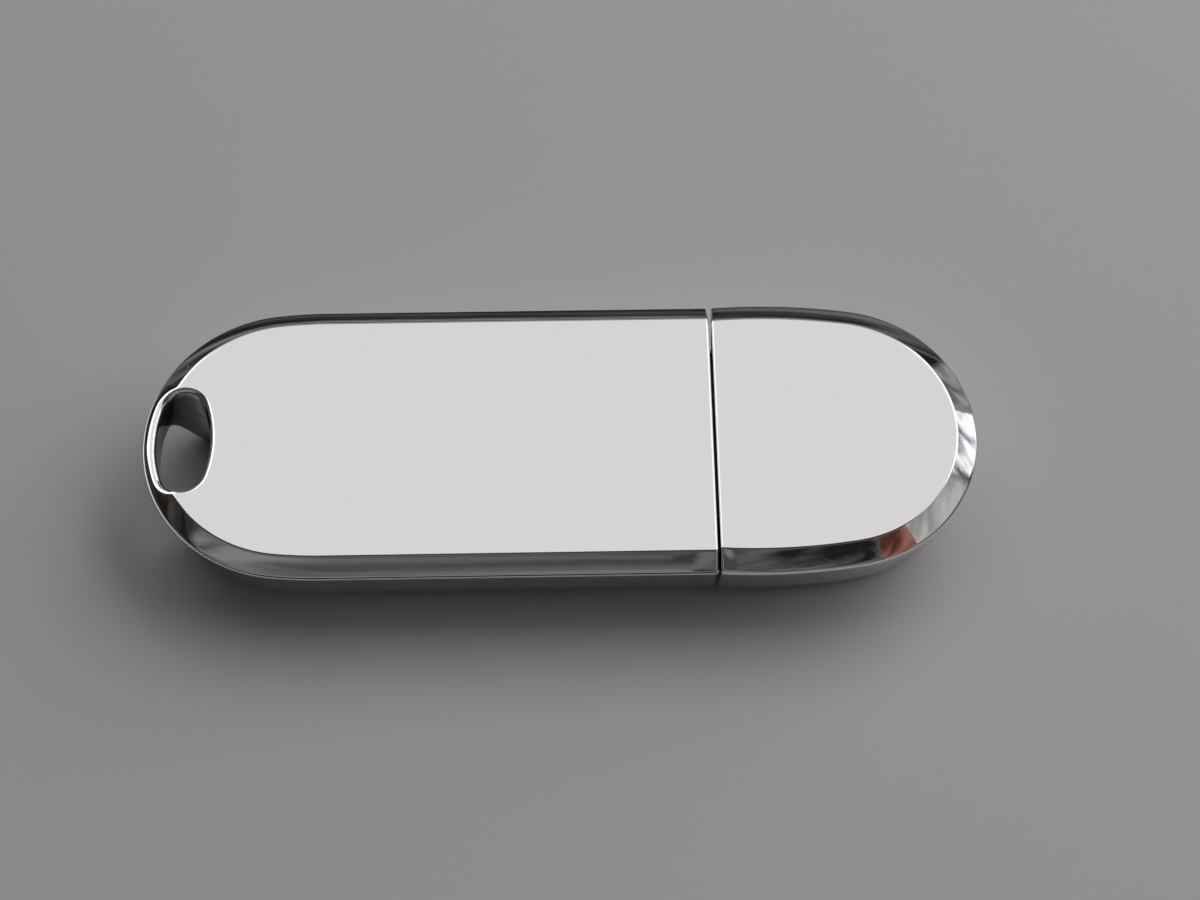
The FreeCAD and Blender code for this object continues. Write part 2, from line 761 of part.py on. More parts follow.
def turn_under(body):
    """Hang a part below the board, upside down."""
    base = body.Placement.Base
    body.Placement = FreeCAD.Placement(base, FreeCAD.Rotation(FreeCAD.Vector(1, 0, 0), 180))


def make_package(label, place, length, width, thick):
    """A moulded chip package, drawn above its board at the origin, with a dimple at pin one."""
    body = new_body(label, place)
    outline = new_sketch(body, "XY_Plane", "stand_off")
    rectangle(outline, "-%s / 2" % length, "-%s / 2" % width, "%s / 2" % length, "%s / 2" % width)
    pad(body, outline, thick)
    dimple = new_sketch(body, "XY_Plane", "stand_off + " + thick)
    inset = "3 * dimple_radius"
    circle(dimple, "%s - %s / 2" % (inset, length), "%s - %s / 2" % (inset, width), "dimple_radius")
    pocket(body, dimple, "dimple_depth")
    return body


def lead_row(body, plane, start, edge, rise, out, pitch, count):
    """Gull-wing leads along one side of a package; out is which way they face, "" or "-"."""
    sketch = new_sketch(body, plane, start)
    knee, heel = "(%s + lead_shoulder)" % edge, "(%s + lead_shoulder + lead_slope)" % edge
    toe = "(%s + lead_foot)" % heel
    under = [(edge, rise), (knee, rise), (heel, "0"), (toe, "0")]
    over = [(toe, "lead_thick"), ("(%s + lead_thick / 2)" % heel, "lead_thick"),
            ("(%s + lead_thick / 2)" % knee, rise + " + lead_thick"), (edge, rise + " + lead_thick")]
    polygon(sketch, [(out + x, y) for x, y in under + over])
    lead = pad(body, sketch, "lead_width", both=True)
    run = "%s * (%d - 1)" % (pitch, count)
    return repeat(body, lead, "Y_Axis" if plane == "XZ_Plane" else "X_Axis", run, count)


def two_rows(body, edge, thick, count):
    """Leads on the two short sides of a package."""
    start = "lead_pitch * (%d - 1) / 2" % count
    for out in ("", "-"):
        lead_row(body, "XZ_Plane", start, edge, "(stand_off + %s / 2)" % thick, out, "lead_pitch", count)


def make_controller():
    """The square controller chip on top of the board, with leads on all four sides."""
    place = ("-chip_place", "0", BOARD_TOP)
    chip = make_package("controller_chip", place, "chip_side", "chip_side", "chip_thick")
    leads = new_body("controller_leads", place)
    edge, count = "(chip_side / 2)", 12
    two_rows(leads, edge, "chip_thick", count)
    start = "-lead_pitch * (%d - 1) / 2" % count
    for out in ("", "-"):
        lead_row(leads, "YZ_Plane", start, edge, "(stand_off + chip_thick / 2)", out, "lead_pitch", count)
    return [chip, leads]


def make_flash_memory():
    """The thin memory chip below the board, with leads on its two ends."""
    place = ("-flash_place", "0", "board_level")
    chip = make_package("flash_memory_chip", place, "flash_length", "flash_width", "flash_thick")
    leads = new_body("flash_memory_leads", place)
    two_rows(leads, "(flash_length / 2)", "flash_thick", 24)
    turn_under(chip)
    turn_under(leads)
    return [chip, leads]


def make_crystal():
    """The crystal on top of the board: a metal can on a plastic base, across the board."""
    base = block("crystal_base",
                 ("-crystal_place - crystal_base_width / 2", "-crystal_base_length / 2", BOARD_TOP),
                 ("crystal_base_width", "crystal_base_length", "crystal_base_thick"))
    can = new_body("crystal_can", ("-crystal_place", "0", BOARD_TOP + " + crystal_base_thick"))
    outline = new_sketch(can, "XY_Plane")
    rounded_rectangle(outline, "0", "0", "crystal_width", "crystal_length", "crystal_width / 2 - glide")
    solid = pad(can, outline, "crystal_height")
    top = number("crystal_height")
    fillet(can, solid, "edge_round", lambda box: at(box.ZMin, top))
    return [base, can]


def make_regulator():
    """The small voltage regulator: two leads on one side and one on the other."""
    place = ("-regulator_x", "regulator_y", BOARD_TOP)
    chip = make_package("voltage_regulator", place, "regulator_width", "regulator_length",
                        "regulator_thick")
    leads = new_body("regulator_leads", place)
    edge, rise = "(regulator_width / 2)", "(stand_off + regulator_thick / 2)"
    lead_row(leads, "XZ_Plane", "regulator_pitch", edge, rise, "", "2 * regulator_pitch", 2)
    lead_row(leads, "XZ_Plane", "0", edge, rise, "-", "regulator_pitch", 1)
    return [chip, leads]


def make_passives(label, side, thick, count):
    """A row of capacitors or resistors along one edge of the board, as one node."""
    row = doc.addObject("Part::Compound", label)
    row.Links = [
        block("%s_%d" % (label, i),
              ("-%d * passive_pitch" % i, side + "passive_row - passive_width / 2", BOARD_TOP),
              ("passive_length", "passive_width", thick))
        for i in range(count)
    ]
    return row


def make_film_and_foam():
    """The insulating film under the cover, and the foam pad between it and the controller."""
    film = block("insulating_film",
                 ("-chip_place - film_length / 2", "-film_width / 2", "ridge_height - film_thick"),
                 ("film_length", "film_width", "film_thick"))
    bottom = "(%s + stand_off + chip_thick)" % BOARD_TOP
    foam = block("foam_pad", ("-chip_place - foam_side / 2", "-foam_side / 2", bottom),
                 ("foam_side", "foam_side", "ridge_height - film_thick - " + bottom))
    return [film, foam]


# ---------------------------------------------------------------- build and export

def build():
    """Make every sub-part and return them as a list."""
    return [
        make_upper_cover(),
        make_lower_shell(),
        make_plug_collar(),
        make_cap_shell(),
        make_cap_liner(),
        make_plug_shell(),
        make_plug_insulator(),
        *make_contacts(),
        make_circuit_board(),
        make_board_carrier(),
        *make_controller(),
        *make_flash_memory(),
        *make_crystal(),
        *make_regulator(),
        make_passives("ceramic_capacitors", "", "capacitor_thick", 4),
        make_passives("chip_resistors", "-", "resistor_thick", 4),
        *make_film_and_foam(),
    ]


def check(parts):
    """Stop if any object failed, or a sub-part has no sound shape."""
    for thing in doc.Objects:
        if "Invalid" in thing.State or "Error" in thing.State:
            sys.exit("%s failed: %s" % (thing.Name, thing.getStatusString()))
    for part in parts:
        if part.Shape.isNull() or not part.Shape.isValid():
            sys.exit("%s has no valid shape" % part.Label)


PARTS = build()
doc.recompute()
check(PARTS)
os.makedirs("parts", exist_ok=True)
for part in PARTS:
    part.Shape.exportStep("parts/%s.step" % part.Label)
    print("%-20s %d solids %8.1f mm3" % (part.Label, len(part.Shape.Solids), part.Shape.Volume))
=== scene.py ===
# A mirror-chromed USB flash drive with a pull-off cap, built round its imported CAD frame.
# Shapes are worked out in millimetres in the CAD frame (+X to the cap's tip, +Z up) and
# turned into metres when each mesh is made.

import math

import bmesh
import bpy
from mathutils import Matrix, Vector
from mathutils.geometry import delaunay_2d_cdt


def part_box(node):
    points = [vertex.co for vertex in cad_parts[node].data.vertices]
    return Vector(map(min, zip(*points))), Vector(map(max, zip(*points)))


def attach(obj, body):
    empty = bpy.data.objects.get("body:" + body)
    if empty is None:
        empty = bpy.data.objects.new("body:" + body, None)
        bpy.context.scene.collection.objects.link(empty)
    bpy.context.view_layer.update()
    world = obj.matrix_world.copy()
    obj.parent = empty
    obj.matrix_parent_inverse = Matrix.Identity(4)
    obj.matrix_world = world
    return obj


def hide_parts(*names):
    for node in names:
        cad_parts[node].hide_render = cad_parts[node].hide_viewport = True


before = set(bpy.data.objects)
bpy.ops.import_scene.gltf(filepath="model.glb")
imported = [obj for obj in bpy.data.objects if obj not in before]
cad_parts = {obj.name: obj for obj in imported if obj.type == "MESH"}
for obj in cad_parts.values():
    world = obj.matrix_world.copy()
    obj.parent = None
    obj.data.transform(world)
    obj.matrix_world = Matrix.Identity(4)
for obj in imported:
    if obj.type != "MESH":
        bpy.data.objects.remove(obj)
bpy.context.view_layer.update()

MM = 0.001

# ------------------------ sizes in millimetres

def box_mm(node):
    """The lowest and highest corner of a CAD node, in millimetres."""
    low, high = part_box(node)
    return low / MM, high / MM


SHELL_HIGH = box_mm("lower_shell")[1]
CAP_LOW, CAP_HIGH = box_mm("cap_shell")
TOP = CAP_HIGH.z
RIDGE = SHELL_HIGH.z
BODY_SEAM = SHELL_HIGH.x
CAP_SEAM = CAP_LOW.x
TIP = 35.0

# The outlines at the ridge, the slopes above it and the flank below it
BODY_HALF = 12.6
BODY_CROWN = -19.75
BODY_SIDE = 38.0
BODY_SLOPE = 1.65
CAP_HALF = 12.75
CAP_CROWN = 16.5
CAP_SIDE = 52.0
CAP_SLOPE = 1.9
FLANK = RIDGE * math.tan(math.radians(16))
BELLY = 2.6
UNDERSIDE_BAND = 4.0

# How the edges are rounded, where cover and shell part, how the top swells, and how far in from
# the rim the patches round the slot start
EDGE = 0.55
SEAM_ROUND = 0.25
PARTING_ROUND = 0.06
PARTING_GAP = 0.12
PARTING_LAND = (0.45, 0.6)
MOUTH_EDGE = 0.1
CAP_RIDGE_ROUND = 0.35
LEAST_ROUND = 0.02
DOME = 0.06
DOME_REACH = 4.0
DOME_STEPS = 8
BULGE = 0.03
RIM_BAND = 0.35

# The key-ring slot, the sleeve that lines it and the shell's hollow
SLOT_X = -31.55
SLOT_HALF = 2.3
SLOT_REACH = 4.6
SLOT_SIDE = 10.75
SLOT_RIM = 0.45
SLOT_FOOT = 0.3
SLEEVE_WALL = 0.5
SLEEVE_START = -32.4
SLEEVE_END = 5.1
JOINT = 0.08
GLIDE = 0.05
FLOOR = 1.2
HOLLOW_HALF = 11.2
HOLLOW_END = 26.8
HOLLOW_CORNER = 4.5

# The plug, its collar's neck and the cap's bore, as width, height, corner and depth
PLUG_LOW, PLUG_HIGH = box_mm("usb_plug_shell")
PLUG_LEVEL = (PLUG_LOW.z + PLUG_HIGH.z) / 2
PLUG_RISE = (PLUG_HIGH.z - PLUG_LOW.z) / 2
PLUG_HALF = 6.0
PLUG_CORNER = 0.65
PLUG_SIZE = (2 * PLUG_HALF, 2 * PLUG_RISE, PLUG_CORNER)
WALL = 0.3
WINDOW_X = PLUG_HIGH.x - 6.2
WINDOW_Y = 2.5
WINDOW_HALF = 1.15
SEAM_HALF = 0.05
TAB_START = PLUG_LOW.x + 1.5
TAB_LENGTH = 3.0
TAB_LEVEL = 4.2
TONGUE_START = 17.8
CONTACTS = ["contact_vbus", "contact_data_minus", "contact_data_plus", "contact_ground"]
CONTACT_HALF = 0.5
NECK = (17.4, 5.8, 1.8)
BORE = [(18.4, 6.6, 1.8, 8.5), (14.8, 6.0, 1.8, 14.0), (12.6, 5.1, 0.9, 17.9)]

# How finely curves are stepped, and how meshes are welded and shaded
ROUND_STEPS = 6
RIM_STEPS = 9
RIM_TILT = math.radians(50)
SIDE_STEPS = 16
TIP_STEPS = 56
RUN_STEPS = 16
SLOT_STEPS = (7, 12)
SUPPORT = 0.04
NEAR = 1e-5
WELD = 2e-4
SHARP = math.radians(40)


# ------------------------ outlines and sections

def steps(start, end, count):
    """Evenly spaced numbers from start to end, both among them."""
    return [start + (end - start) * i / count for i in range(count + 1)]


class Curve:
    """A side arc that runs tangent into a tip arc: one quarter of a rounded outline."""

    def __init__(self, half_width, reach, side):
        self.side = side
        self.across = side - half_width
        self.tip = (side**2 - self.across**2 - reach**2) / (2 * (side - reach))
        self.centre = reach - self.tip
        self.turn = math.atan2(self.centre, self.across)

    def points(self, inset, first=0.0, side_steps=SIDE_STEPS, tip_steps=TIP_STEPS):
        """Points along the curve moved inwards, as (reach, half width), from angle first to the tip."""
        side, tip = self.side - inset, self.tip - inset
        found = [(side * math.sin(a), side * math.cos(a) - self.across)
                 for a in steps(first, self.turn, side_steps)[:-1]]
        return found + [(self.centre + tip * math.sin(a), tip * math.cos(a))
                        for a in steps(self.turn, math.pi / 2, tip_steps)]

    def depth(self, along, across):
        """How far inside the curve a point lies."""
        if math.atan2(along, across + self.across) < self.turn:
            return self.side - math.hypot(along, across + self.across)
        return self.tip - math.hypot(along - self.centre, across)


class Outline:
    """The rim of the body or the cap at the ridge, from the seam round the tip and back."""

    def __init__(self, crown, half_width, tip, side, straight):
        self.crown, self.half_width, self.straight = crown, half_width, straight
        self.way = 1 if tip > crown else -1
        self.curve = Curve(half_width, abs(tip - crown), side)

    def line(self, inset, seam):
        """Points (x, y) of the rim moved inwards, from the seam in front to the seam behind."""
        start = (seam - self.crown) * self.way
        if self.straight:
            lead = [(u, self.half_width - inset) for u in steps(start, 0, RUN_STEPS)[:-1]]
            quarter = lead + self.curve.points(inset)
        else:
            first = math.asin(start / (self.curve.side - inset))
            quarter = self.curve.points(inset, first, RUN_STEPS + SIDE_STEPS)
        front = [(self.crown + self.way * u, -v) for u, v in quarter]
        return front + [(x, -y) for x, y in reversed(front[:-1])]

    def depth(self, x, y):
        """How far inside the rim a point lies."""
        along = (x - self.crown) * self.way
        if self.straight and along < 0:
            return self.half_width - abs(y)
        return self.curve.depth(along, abs(y))


class Slot:
    """The key-ring slot: an upright oval through the body."""

    def __init__(self):
        self.curve = Curve(SLOT_HALF, SLOT_REACH, SLOT_SIDE)

    def ring(self, margin=0.0):
        """Points (x, y) round the slot, grown by a margin."""
        quarter = [(v, u) for u, v in self.curve.points(-margin, 0, *SLOT_STEPS)]
        upper = quarter + [(-x, y) for x, y in reversed(quarter[:-1])]
        whole = upper + [(x, -y) for x, y in reversed(upper[1:-1])]
        return [(SLOT_X + x, y) for x, y in whole]

    def gap(self, x, y):
        """How far outside the slot a point lies."""
        return -self.curve.depth(abs(y), abs(x - SLOT_X))


def section(corners, shift=0.0, still=()):
    """Rows (inset, height) along a rounded section, bottom first, with the solid on its right.

    A corner is (inset, height, radius). The runs move into the solid by shift, except the still ones.
    """
    spots = [Vector(corner[:2]) for corner in corners]
    runs = [(b - a).normalized() for a, b in zip(spots, spots[1:])]
    inward = [Vector((run.y, -run.x)) for run in runs]
    moves = [0.0 if i in still else shift for i in range(len(runs))]
    rows = [spots[0] + inward[0] * moves[0]]
    for i, (_, _, radius) in enumerate(corners[1:-1]):
        before, after = inward[i], inward[i + 1]
        cross = before.x * after.y - before.y * after.x
        spot = spots[i + 1].copy()
        if abs(cross) < NEAR:
            spot += before * moves[i]
        else:
            spot.x += (moves[i] * after.y - moves[i + 1] * before.y) / cross
            spot.y += (moves[i + 1] * before.x - moves[i] * after.x) / cross
        if not radius:
            rows.append(spot)
            continue
        radius = max(radius - max(moves[i], moves[i + 1]), LEAST_ROUND)
        angle = before.angle(after)
        reach = radius * math.tan(angle / 2)
        middle = spot - runs[i] * reach + before * radius
        rows.append(spot - runs[i] * (reach + SUPPORT))
        for part in steps(0, 1, ROUND_STEPS):
            outward = before * math.sin((1 - part) * angle) + after * math.sin(part * angle)
            rows.append(middle - outward * (radius / math.sin(angle)))
        rows.append(spot + runs[i + 1] * (reach + SUPPORT))
    rows.append(spots[-1] + inward[-1] * moves[-1])
    return [(row.x, row.y) for row in rows]


def sloped_rim(slope):
    """Corners up the barely bulged slope and across the faint dome of the top."""
    rise = (TOP - DOME - RIDGE) * RIM_BAND / slope
    rows = [(RIM_BAND, RIDGE + rise + BULGE, 0), (slope, TOP - DOME, EDGE)]
    for inset in steps(slope, slope + DOME_REACH, DOME_STEPS)[1:]:
        left = 1 - (inset - slope) / DOME_REACH
        rows.append((inset, TOP - DOME * left**2, 0))
    return rows


# ------------------------ meshes

def link(name, data):
    """A new object in the scene."""
    thing = bpy.data.objects.new(name, data)
    bpy.context.scene.collection.objects.link(thing)
    return thing


def link_mesh(name, mesh, material):
    """Turn a bmesh into an object of the scene."""
    data = bpy.data.meshes.new(name)
    mesh.to_mesh(data)
    mesh.free()
    data.materials.append(material)
    return link(name, data)


class Skin:
    """Collects the faces of one closed piece in millimetres and welds them into a mesh."""

    def __init__(self):
        self.mesh = bmesh.new()

    def face(self, points):
        """One flat face."""
        self.mesh.faces.new([self.mesh.verts.new(point) for point in points])

    def strip(self, first, second, closed=False, gaps=()):
        """Quads between two rows of points, but for the gaps."""
        pairs = list(zip(first, second))
        for i, ((a, b), (c, d)) in enumerate(zip(pairs, pairs[1:] + pairs[:closed])):
            if i not in gaps:
                self.face([a, b, d, c])

    def loft(self, rows, closed=False):
        """Quads between every two neighbouring rows."""
        for first, second in zip(rows, rows[1:]):
            self.strip(first, second, closed)

    def bar(self, rows):
        """Rings of points joined up and closed at both ends."""
        self.loft(rows, closed=True)
        self.face(rows[0])
        self.face(rows[-1])

    def fill(self, lines, place, wanted):
        """Triangles over everything that the lines enclose; place lifts (u, v), wanted(u, v) keeps."""
        spots, edges = [], []
        for line in lines:
            for i in range(len(line) - 1):
                edges.append((len(spots) + i, len(spots) + i + 1))
            spots += [Vector(point) for point in line]
        spots, _, faces, *_ = delaunay_2d_cdt(spots, edges, [], 0, NEAR, False)
        lifted = [place(spot.x, spot.y) for spot in spots]
        for face in faces:
            middle = sum((spots[i] for i in face), Vector((0, 0))) / len(face)
            if wanted(middle.x, middle.y):
                self.face([lifted[i] for i in face])

    def block(self, low, high):
        """A closed block between two corners."""
        (x0, y0, z0), (x1, y1, z1) = low, high
        self.bar([[(x, y0, z0), (x, y1, z0), (x, y1, z1), (x, y0, z1)] for x in (x0, x1)])

    def make(self, name, body, material, nodes):
        """Weld the piece, make it an object and let it ride on its body in place of CAD nodes."""
        bmesh.ops.remove_doubles(self.mesh, verts=self.mesh.verts, dist=WELD)
        bmesh.ops.dissolve_degenerate(self.mesh, edges=self.mesh.edges, dist=NEAR)
        bmesh.ops.recalc_face_normals(self.mesh, faces=self.mesh.faces)
        self.mesh.transform(Matrix.Scale(MM, 4))
        for item in self.mesh.faces:
            item.smooth = True
        thing = link_mesh(name, self.mesh, material)
        thing.data.set_sharp_from_angle(angle=SHARP)
        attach(thing, body)
        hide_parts(*nodes)
        return thing


def flat(points):
    """The points without their heights."""
    return [point[:2] for point in points]


def closed_line(points):
    """A ring of points as a line that ends where it starts."""
    return list(points) + [points[0]]


# ------------------------ chrome shells

def shell_surface(skin, outline, corners, seam, still=(), patch=None):
    """Carry a section round an outline and turn both ends in at the seam.

    patch is a range of rows left out between the seam rounds, for a fill. Returns the section's rows,
    their lines up to the seam round, and the ends that run round it in front and behind.
    """
    into = outline.way
    start = seam + into * SEAM_ROUND
    rows = section(corners, 0, still)
    lines = [[(x, y, z) for x, y in outline.line(inset, start)] for inset, z in rows]
    for i in range(len(rows) - 1):
        if patch is None or i not in patch:
            skin.strip(lines[i], lines[i + 1])
    ends = []
    for angle in steps(0, math.pi / 2, ROUND_STEPS):
        x = seam + into * SEAM_ROUND * (1 - math.sin(angle))
        moved = section(corners, SEAM_ROUND * (1 - math.cos(angle)), still)
        ends.append([(*outline.line(inset, x)[0], z) for inset, z in moved])
    behind = [[(x, -y, z) for x, y, z in end] for end in ends]
    skin.loft(ends)
    skin.loft(behind)
    return rows, lines, ends, behind


def across(skin, front, back, row):
    """The flat strips that join the front and back of the seam round along one row."""
    skin.strip([end[row] for end in front], [end[row] for end in back])


def height_over(rows):
    """The surface height at an inset, from a section's rows."""
    table = sorted(rows)

    def height(inset):
        for (low, start), (high, end) in zip(table, table[1:]):
            if inset <= high + NEAR:
                share = (inset - low) / max(high - low, NEAR)
                return start + (end - start) * max(share, 0.0)
        return table[-1][1]

    return height


def seam_line(lines):
    """The straight edge of a filled patch at the seam, through the end of each of its rows."""
    return flat(line[0] for line in lines) + flat(line[-1] for line in reversed(lines))


def clear_of_ring(line, ring):
    """The stretches of a line that keep outside a ring."""
    stretches, run = [], []
    for point in line:
        if not inside(*point[:2], ring):
            run.append(point[:2])
        elif run:
            stretches.append(run)
            run = []
    return stretches + [run]


def eased_rings(slot, radius, height_at, sign):
    """Rings round the slot, down a fillet from the surface to the slot's upright wall."""
    columns = []
    for (x, y), (far_x, far_y) in zip(slot.ring(), slot.ring(radius)):
        way_x, way_y = (far_x - x) / radius, (far_y - y) / radius
        tilt = math.atan(sign * (height_at(far_x, far_y) - height_at(x, y)) / radius)
        tilt = min(max(tilt, -RIM_TILT), RIM_TILT)
        column = []
        for turn in steps(math.pi / 2 - tilt, 0, RIM_STEPS):
            gap = radius * (1 - math.cos(turn))
            drop = gap * math.tan(tilt) - radius * (math.tan(tilt) - 1 / math.cos(tilt) + math.sin(turn))
            spot_x, spot_y = x + way_x * gap, y + way_y * gap
            column.append((spot_x, spot_y, height_at(spot_x, spot_y) - sign * drop))
        far = radius * (1 - math.sin(tilt)) + SUPPORT
        columns.append([(x + way_x * far, y + way_y * far), *column])
    return [list(ring) for ring in zip(*columns)]


def slotted_patch(skin, outline, slot, rows, lines, rim, sign):
    """Fill a patch of the body round the slot, with a rounded rim; returns the rim's lowest ring."""
    height = height_over(rows)

    def height_at(x, y):
        return height(outline.depth(x, y))

    clear, *rings = eased_rings(slot, rim, height_at, sign)
    skin.loft(rings, closed=True)
    hole = flat(rings[0])
    edges = [seam_line(lines), closed_line(hole)]
    for line in lines:
        edges += clear_of_ring(line, clear)
    low = min(rows)[0]
    start = max(line[0][0] for line in lines)
    skin.fill(edges, lambda x, y: (x, y, height_at(x, y)), lambda x, y: (
        not inside(x, y, hole) and outline.depth(x, y) > low - NEAR and x < start))
    return rings[-1]


def plain_patch(skin, lines, z, wanted):
    """Fill a flat region at one height."""
    skin.fill(lines, lambda x, y: (x, y, z), wanted)


def at_height(points, z):
    """The points moved to a height."""
    return [(point[0], point[1], z) for point in points]


def sleeve_run(ring):
    """The stretch of a slot ring that the sleeve lines; the ring starts at its inner side."""
    inner = [i for i, point in enumerate(ring) if point[0] > SLEEVE_START]
    split = next(k for k, (a, b) in enumerate(zip(inner, inner[1:])) if b - a > 1)
    return inner[split + 1:] + inner[:split + 1]


def hole_line(slot, margin):
    """The slot's outline at the ridge, wider by a margin where the sleeve lines it."""
    ring, wide = slot.ring(), slot.ring(margin)
    run = sleeve_run(ring)
    return [wide[i] for i in run] + ring[run[-1]:run[0] + 1]


def step_round_slot(skin, slot, margin, side):
    """The step where sleeve meets shell: outer wall, ledge, eased edge, inner wall and two ends.

    side is 1 for the cover's sleeve, whose eased edge rises, and -1 for the shell's recess.
    """
    rings = [slot.ring(margin), slot.ring(margin), slot.ring(JOINT), slot.ring()]
    heights = [RIDGE, SLEEVE_END, SLEEVE_END, SLEEVE_END + side * JOINT]
    run = sleeve_run(rings[-1])
    rows = [at_height([ring[i] for i in run], z) for ring, z in zip(rings, heights)]
    rows.append(at_height(rows[-1], RIDGE))
    skin.loft(rows[:4])
    for i in (0, -1):
        skin.face([row[i] for row in rows])
    return run, rows


def inside(x, y, ring):
    """Whether a point lies inside a closed polygon."""
    within = False
    for (ax, ay), (bx, by) in zip(ring, ring[1:] + ring[:1]):
        if (ay > y) != (by > y) and x < ax + (bx - ax) * (y - ay) / (by - ay):
            within = not within
    return within


def make_cover(chrome, slot, outline):
    """The flat cover, with its sloped rim and the sleeve that lines the slot."""
    skin = Skin()
    corners = [(PARTING_LAND[1], RIDGE, 0), (0, RIDGE, PARTING_ROUND), *sloped_rim(BODY_SLOPE)]
    bare = section(corners, 0, (0,))
    first = next(i for i, row in enumerate(bare) if i and abs(row[0] - RIM_BAND) < NEAR)
    rows, lines, ends, behind = shell_surface(
        skin, outline, corners, BODY_SEAM, still=(0,), patch=range(first, len(bare)))
    across(skin, ends, behind, 0)
    across(skin, ends, behind, -1)
    skin.face(ends[-1] + behind[-1][::-1])
    rim = slotted_patch(skin, outline, slot, rows[first:], lines[first:], SLOT_RIM, 1)
    hole = hole_line(slot, SLEEVE_WALL)
    plain_patch(skin, [closed_line(flat(lines[0])), closed_line(hole)], RIDGE,
                lambda x, y: not inside(x, y, hole))
    skin.strip(rim, at_height(rim, RIDGE), closed=True)
    _, rows = step_round_slot(skin, slot, SLEEVE_WALL, 1)
    skin.strip(rows[3], rows[4])
    return skin.make("cover_casting", "drive", chrome, ["upper_cover"])


def hollow_line(z, inset, xs):
    """The lower shell's hollow at one height: open at the seam, round at the rear corners."""
    half, rear, radius = HOLLOW_HALF - inset, -HOLLOW_END + inset, HOLLOW_CORNER - inset
    corner = [(rear + radius - radius * math.sin(a), -(half - radius + radius * math.cos(a)))
              for a in steps(0, math.pi / 2, ROUND_STEPS)]
    front = [(x, -half) for x in xs] + corner
    return [(x, y, z) for x, y in front + [(x, -y) for x, y in front[::-1]]]


def make_lower_shell(chrome, slot, outline):
    """The lower casting: drafted flank, rounded belly, hollow and slot."""
    skin = Skin()
    level = RIDGE * (1 - RIM_BAND / FLANK)
    top_runs = (3, 4, 5)
    corners = [(FLANK + UNDERSIDE_BAND, 0, 0), (FLANK, 0, BELLY), (RIM_BAND, level, 0),
               (0, RIDGE - PARTING_GAP, PARTING_ROUND), (PARTING_LAND[0], RIDGE - PARTING_GAP, 0),
               (PARTING_LAND[0], RIDGE, 0), (PARTING_LAND[1], RIDGE, 0)]
    bare = section(corners, 0, top_runs)
    first = next(i for i, row in enumerate(bare) if abs(row[0] - RIM_BAND) < NEAR)
    rows, lines, ends, behind = shell_surface(
        skin, outline, corners, BODY_SEAM, still=top_runs, patch=range(first))
    across(skin, ends, behind, 0)
    foot = slotted_patch(skin, outline, slot, rows[:first + 1], lines[:first + 1], SLOT_FOOT, -1)
    xs = [end[-1][0] for end in ends[::-1]]
    mouth = hollow_line(RIDGE, 0, xs)
    floor = hollow_line(FLOOR, (RIDGE - FLOOR) * FLANK / RIDGE, xs)
    skin.strip(mouth, floor)
    plain_patch(skin, [closed_line(flat(floor))], FLOOR, lambda x, y: True)
    skin.face(ends[-1] + [mouth[0], floor[0], floor[-1], mouth[-1]] + behind[-1][::-1])
    count = len(xs)
    skin.strip([end[-1] for end in ends[::-1]], mouth[:count])
    skin.strip([end[-1] for end in behind[::-1]], mouth[:-count - 1:-1])
    hole = hole_line(slot, SLEEVE_WALL + GLIDE)
    hollow = flat(mouth[count - 1:len(mouth) - count + 1])
    rim = flat(lines[-1])
    plain_patch(skin, [rim + hollow[::-1] + rim[:1], closed_line(hole)], RIDGE,
                lambda x, y: not inside(x, y, hole) and not inside(x, y, hollow))
    run, _ = step_round_slot(skin, slot, SLEEVE_WALL + GLIDE, -1)
    ring = slot.ring()
    edge = [(x, y, SLEEVE_END - JOINT) for x, y in ring]
    skin.strip([edge[i] for i in run], [foot[i] for i in run])
    rest = range(run[-1], run[0] + 1)
    skin.loft([at_height([ring[i] for i in rest], RIDGE), [edge[i] for i in rest],
               [foot[i] for i in rest]])
    return skin.make("lower_casting", "drive", chrome, ["lower_shell"])


def rounded_loop(x, width, height, radius):
    """A rounded rectangle round the plug's axis, across the drive at one x."""
    loop = []
    for turn, (side_y, side_z) in enumerate([(1, 1), (-1, 1), (-1, -1), (1, -1)]):
        middle_y, middle_z = side_y * (width / 2 - radius), side_z * (height / 2 - radius)
        for a in steps(turn * math.pi / 2, (turn + 1) * math.pi / 2, ROUND_STEPS):
            loop.append((x, middle_y + radius * math.cos(a),
                         PLUG_LEVEL + middle_z + radius * math.sin(a)))
    return loop


def grown(size, by):
    """The width, height and corner of a rounded rectangle, grown all round."""
    return size[0] + 2 * by, size[1] + 2 * by, size[2] + by


def make_cap(chrome, outline):
    """The one-piece cap, with the stepped bore that holds its liner."""
    skin = Skin()
    corners = [(FLANK + UNDERSIDE_BAND, 0, 0), (FLANK, 0, BELLY),
               (0, RIDGE, CAP_RIDGE_ROUND), *sloped_rim(CAP_SLOPE)]
    _, lines, ends, behind = shell_surface(skin, outline, corners, CAP_SEAM)
    for row, z in ((0, 0), (-1, TOP)):
        across(skin, ends, behind, row)
        plain_patch(skin, [closed_line(flat(lines[row]))], z, lambda x, y: True)
    loops = [rounded_loop(CAP_SEAM, *grown(BORE[0], MOUTH_EDGE))]
    start = CAP_SEAM + MOUTH_EDGE
    for width, height, radius, depth in BORE:
        loops.append(rounded_loop(start, width, height, radius))
        start = CAP_SEAM + depth
        loops.append(rounded_loop(start, width, height, radius))
    skin.loft(loops, closed=True)
    skin.face(loops[-1])
    rim = [point[1:] for point in ends[-1] + behind[-1][::-1]]
    mouth = [point[1:] for point in loops[0]]
    skin.fill([closed_line(rim), closed_line(mouth)], lambda y, z: (CAP_SEAM, y, z),
              lambda y, z: inside(y, z, rim) and not inside(y, z, mouth))
    return skin.make("cap_casting", "cap", chrome, ["cap_shell"])


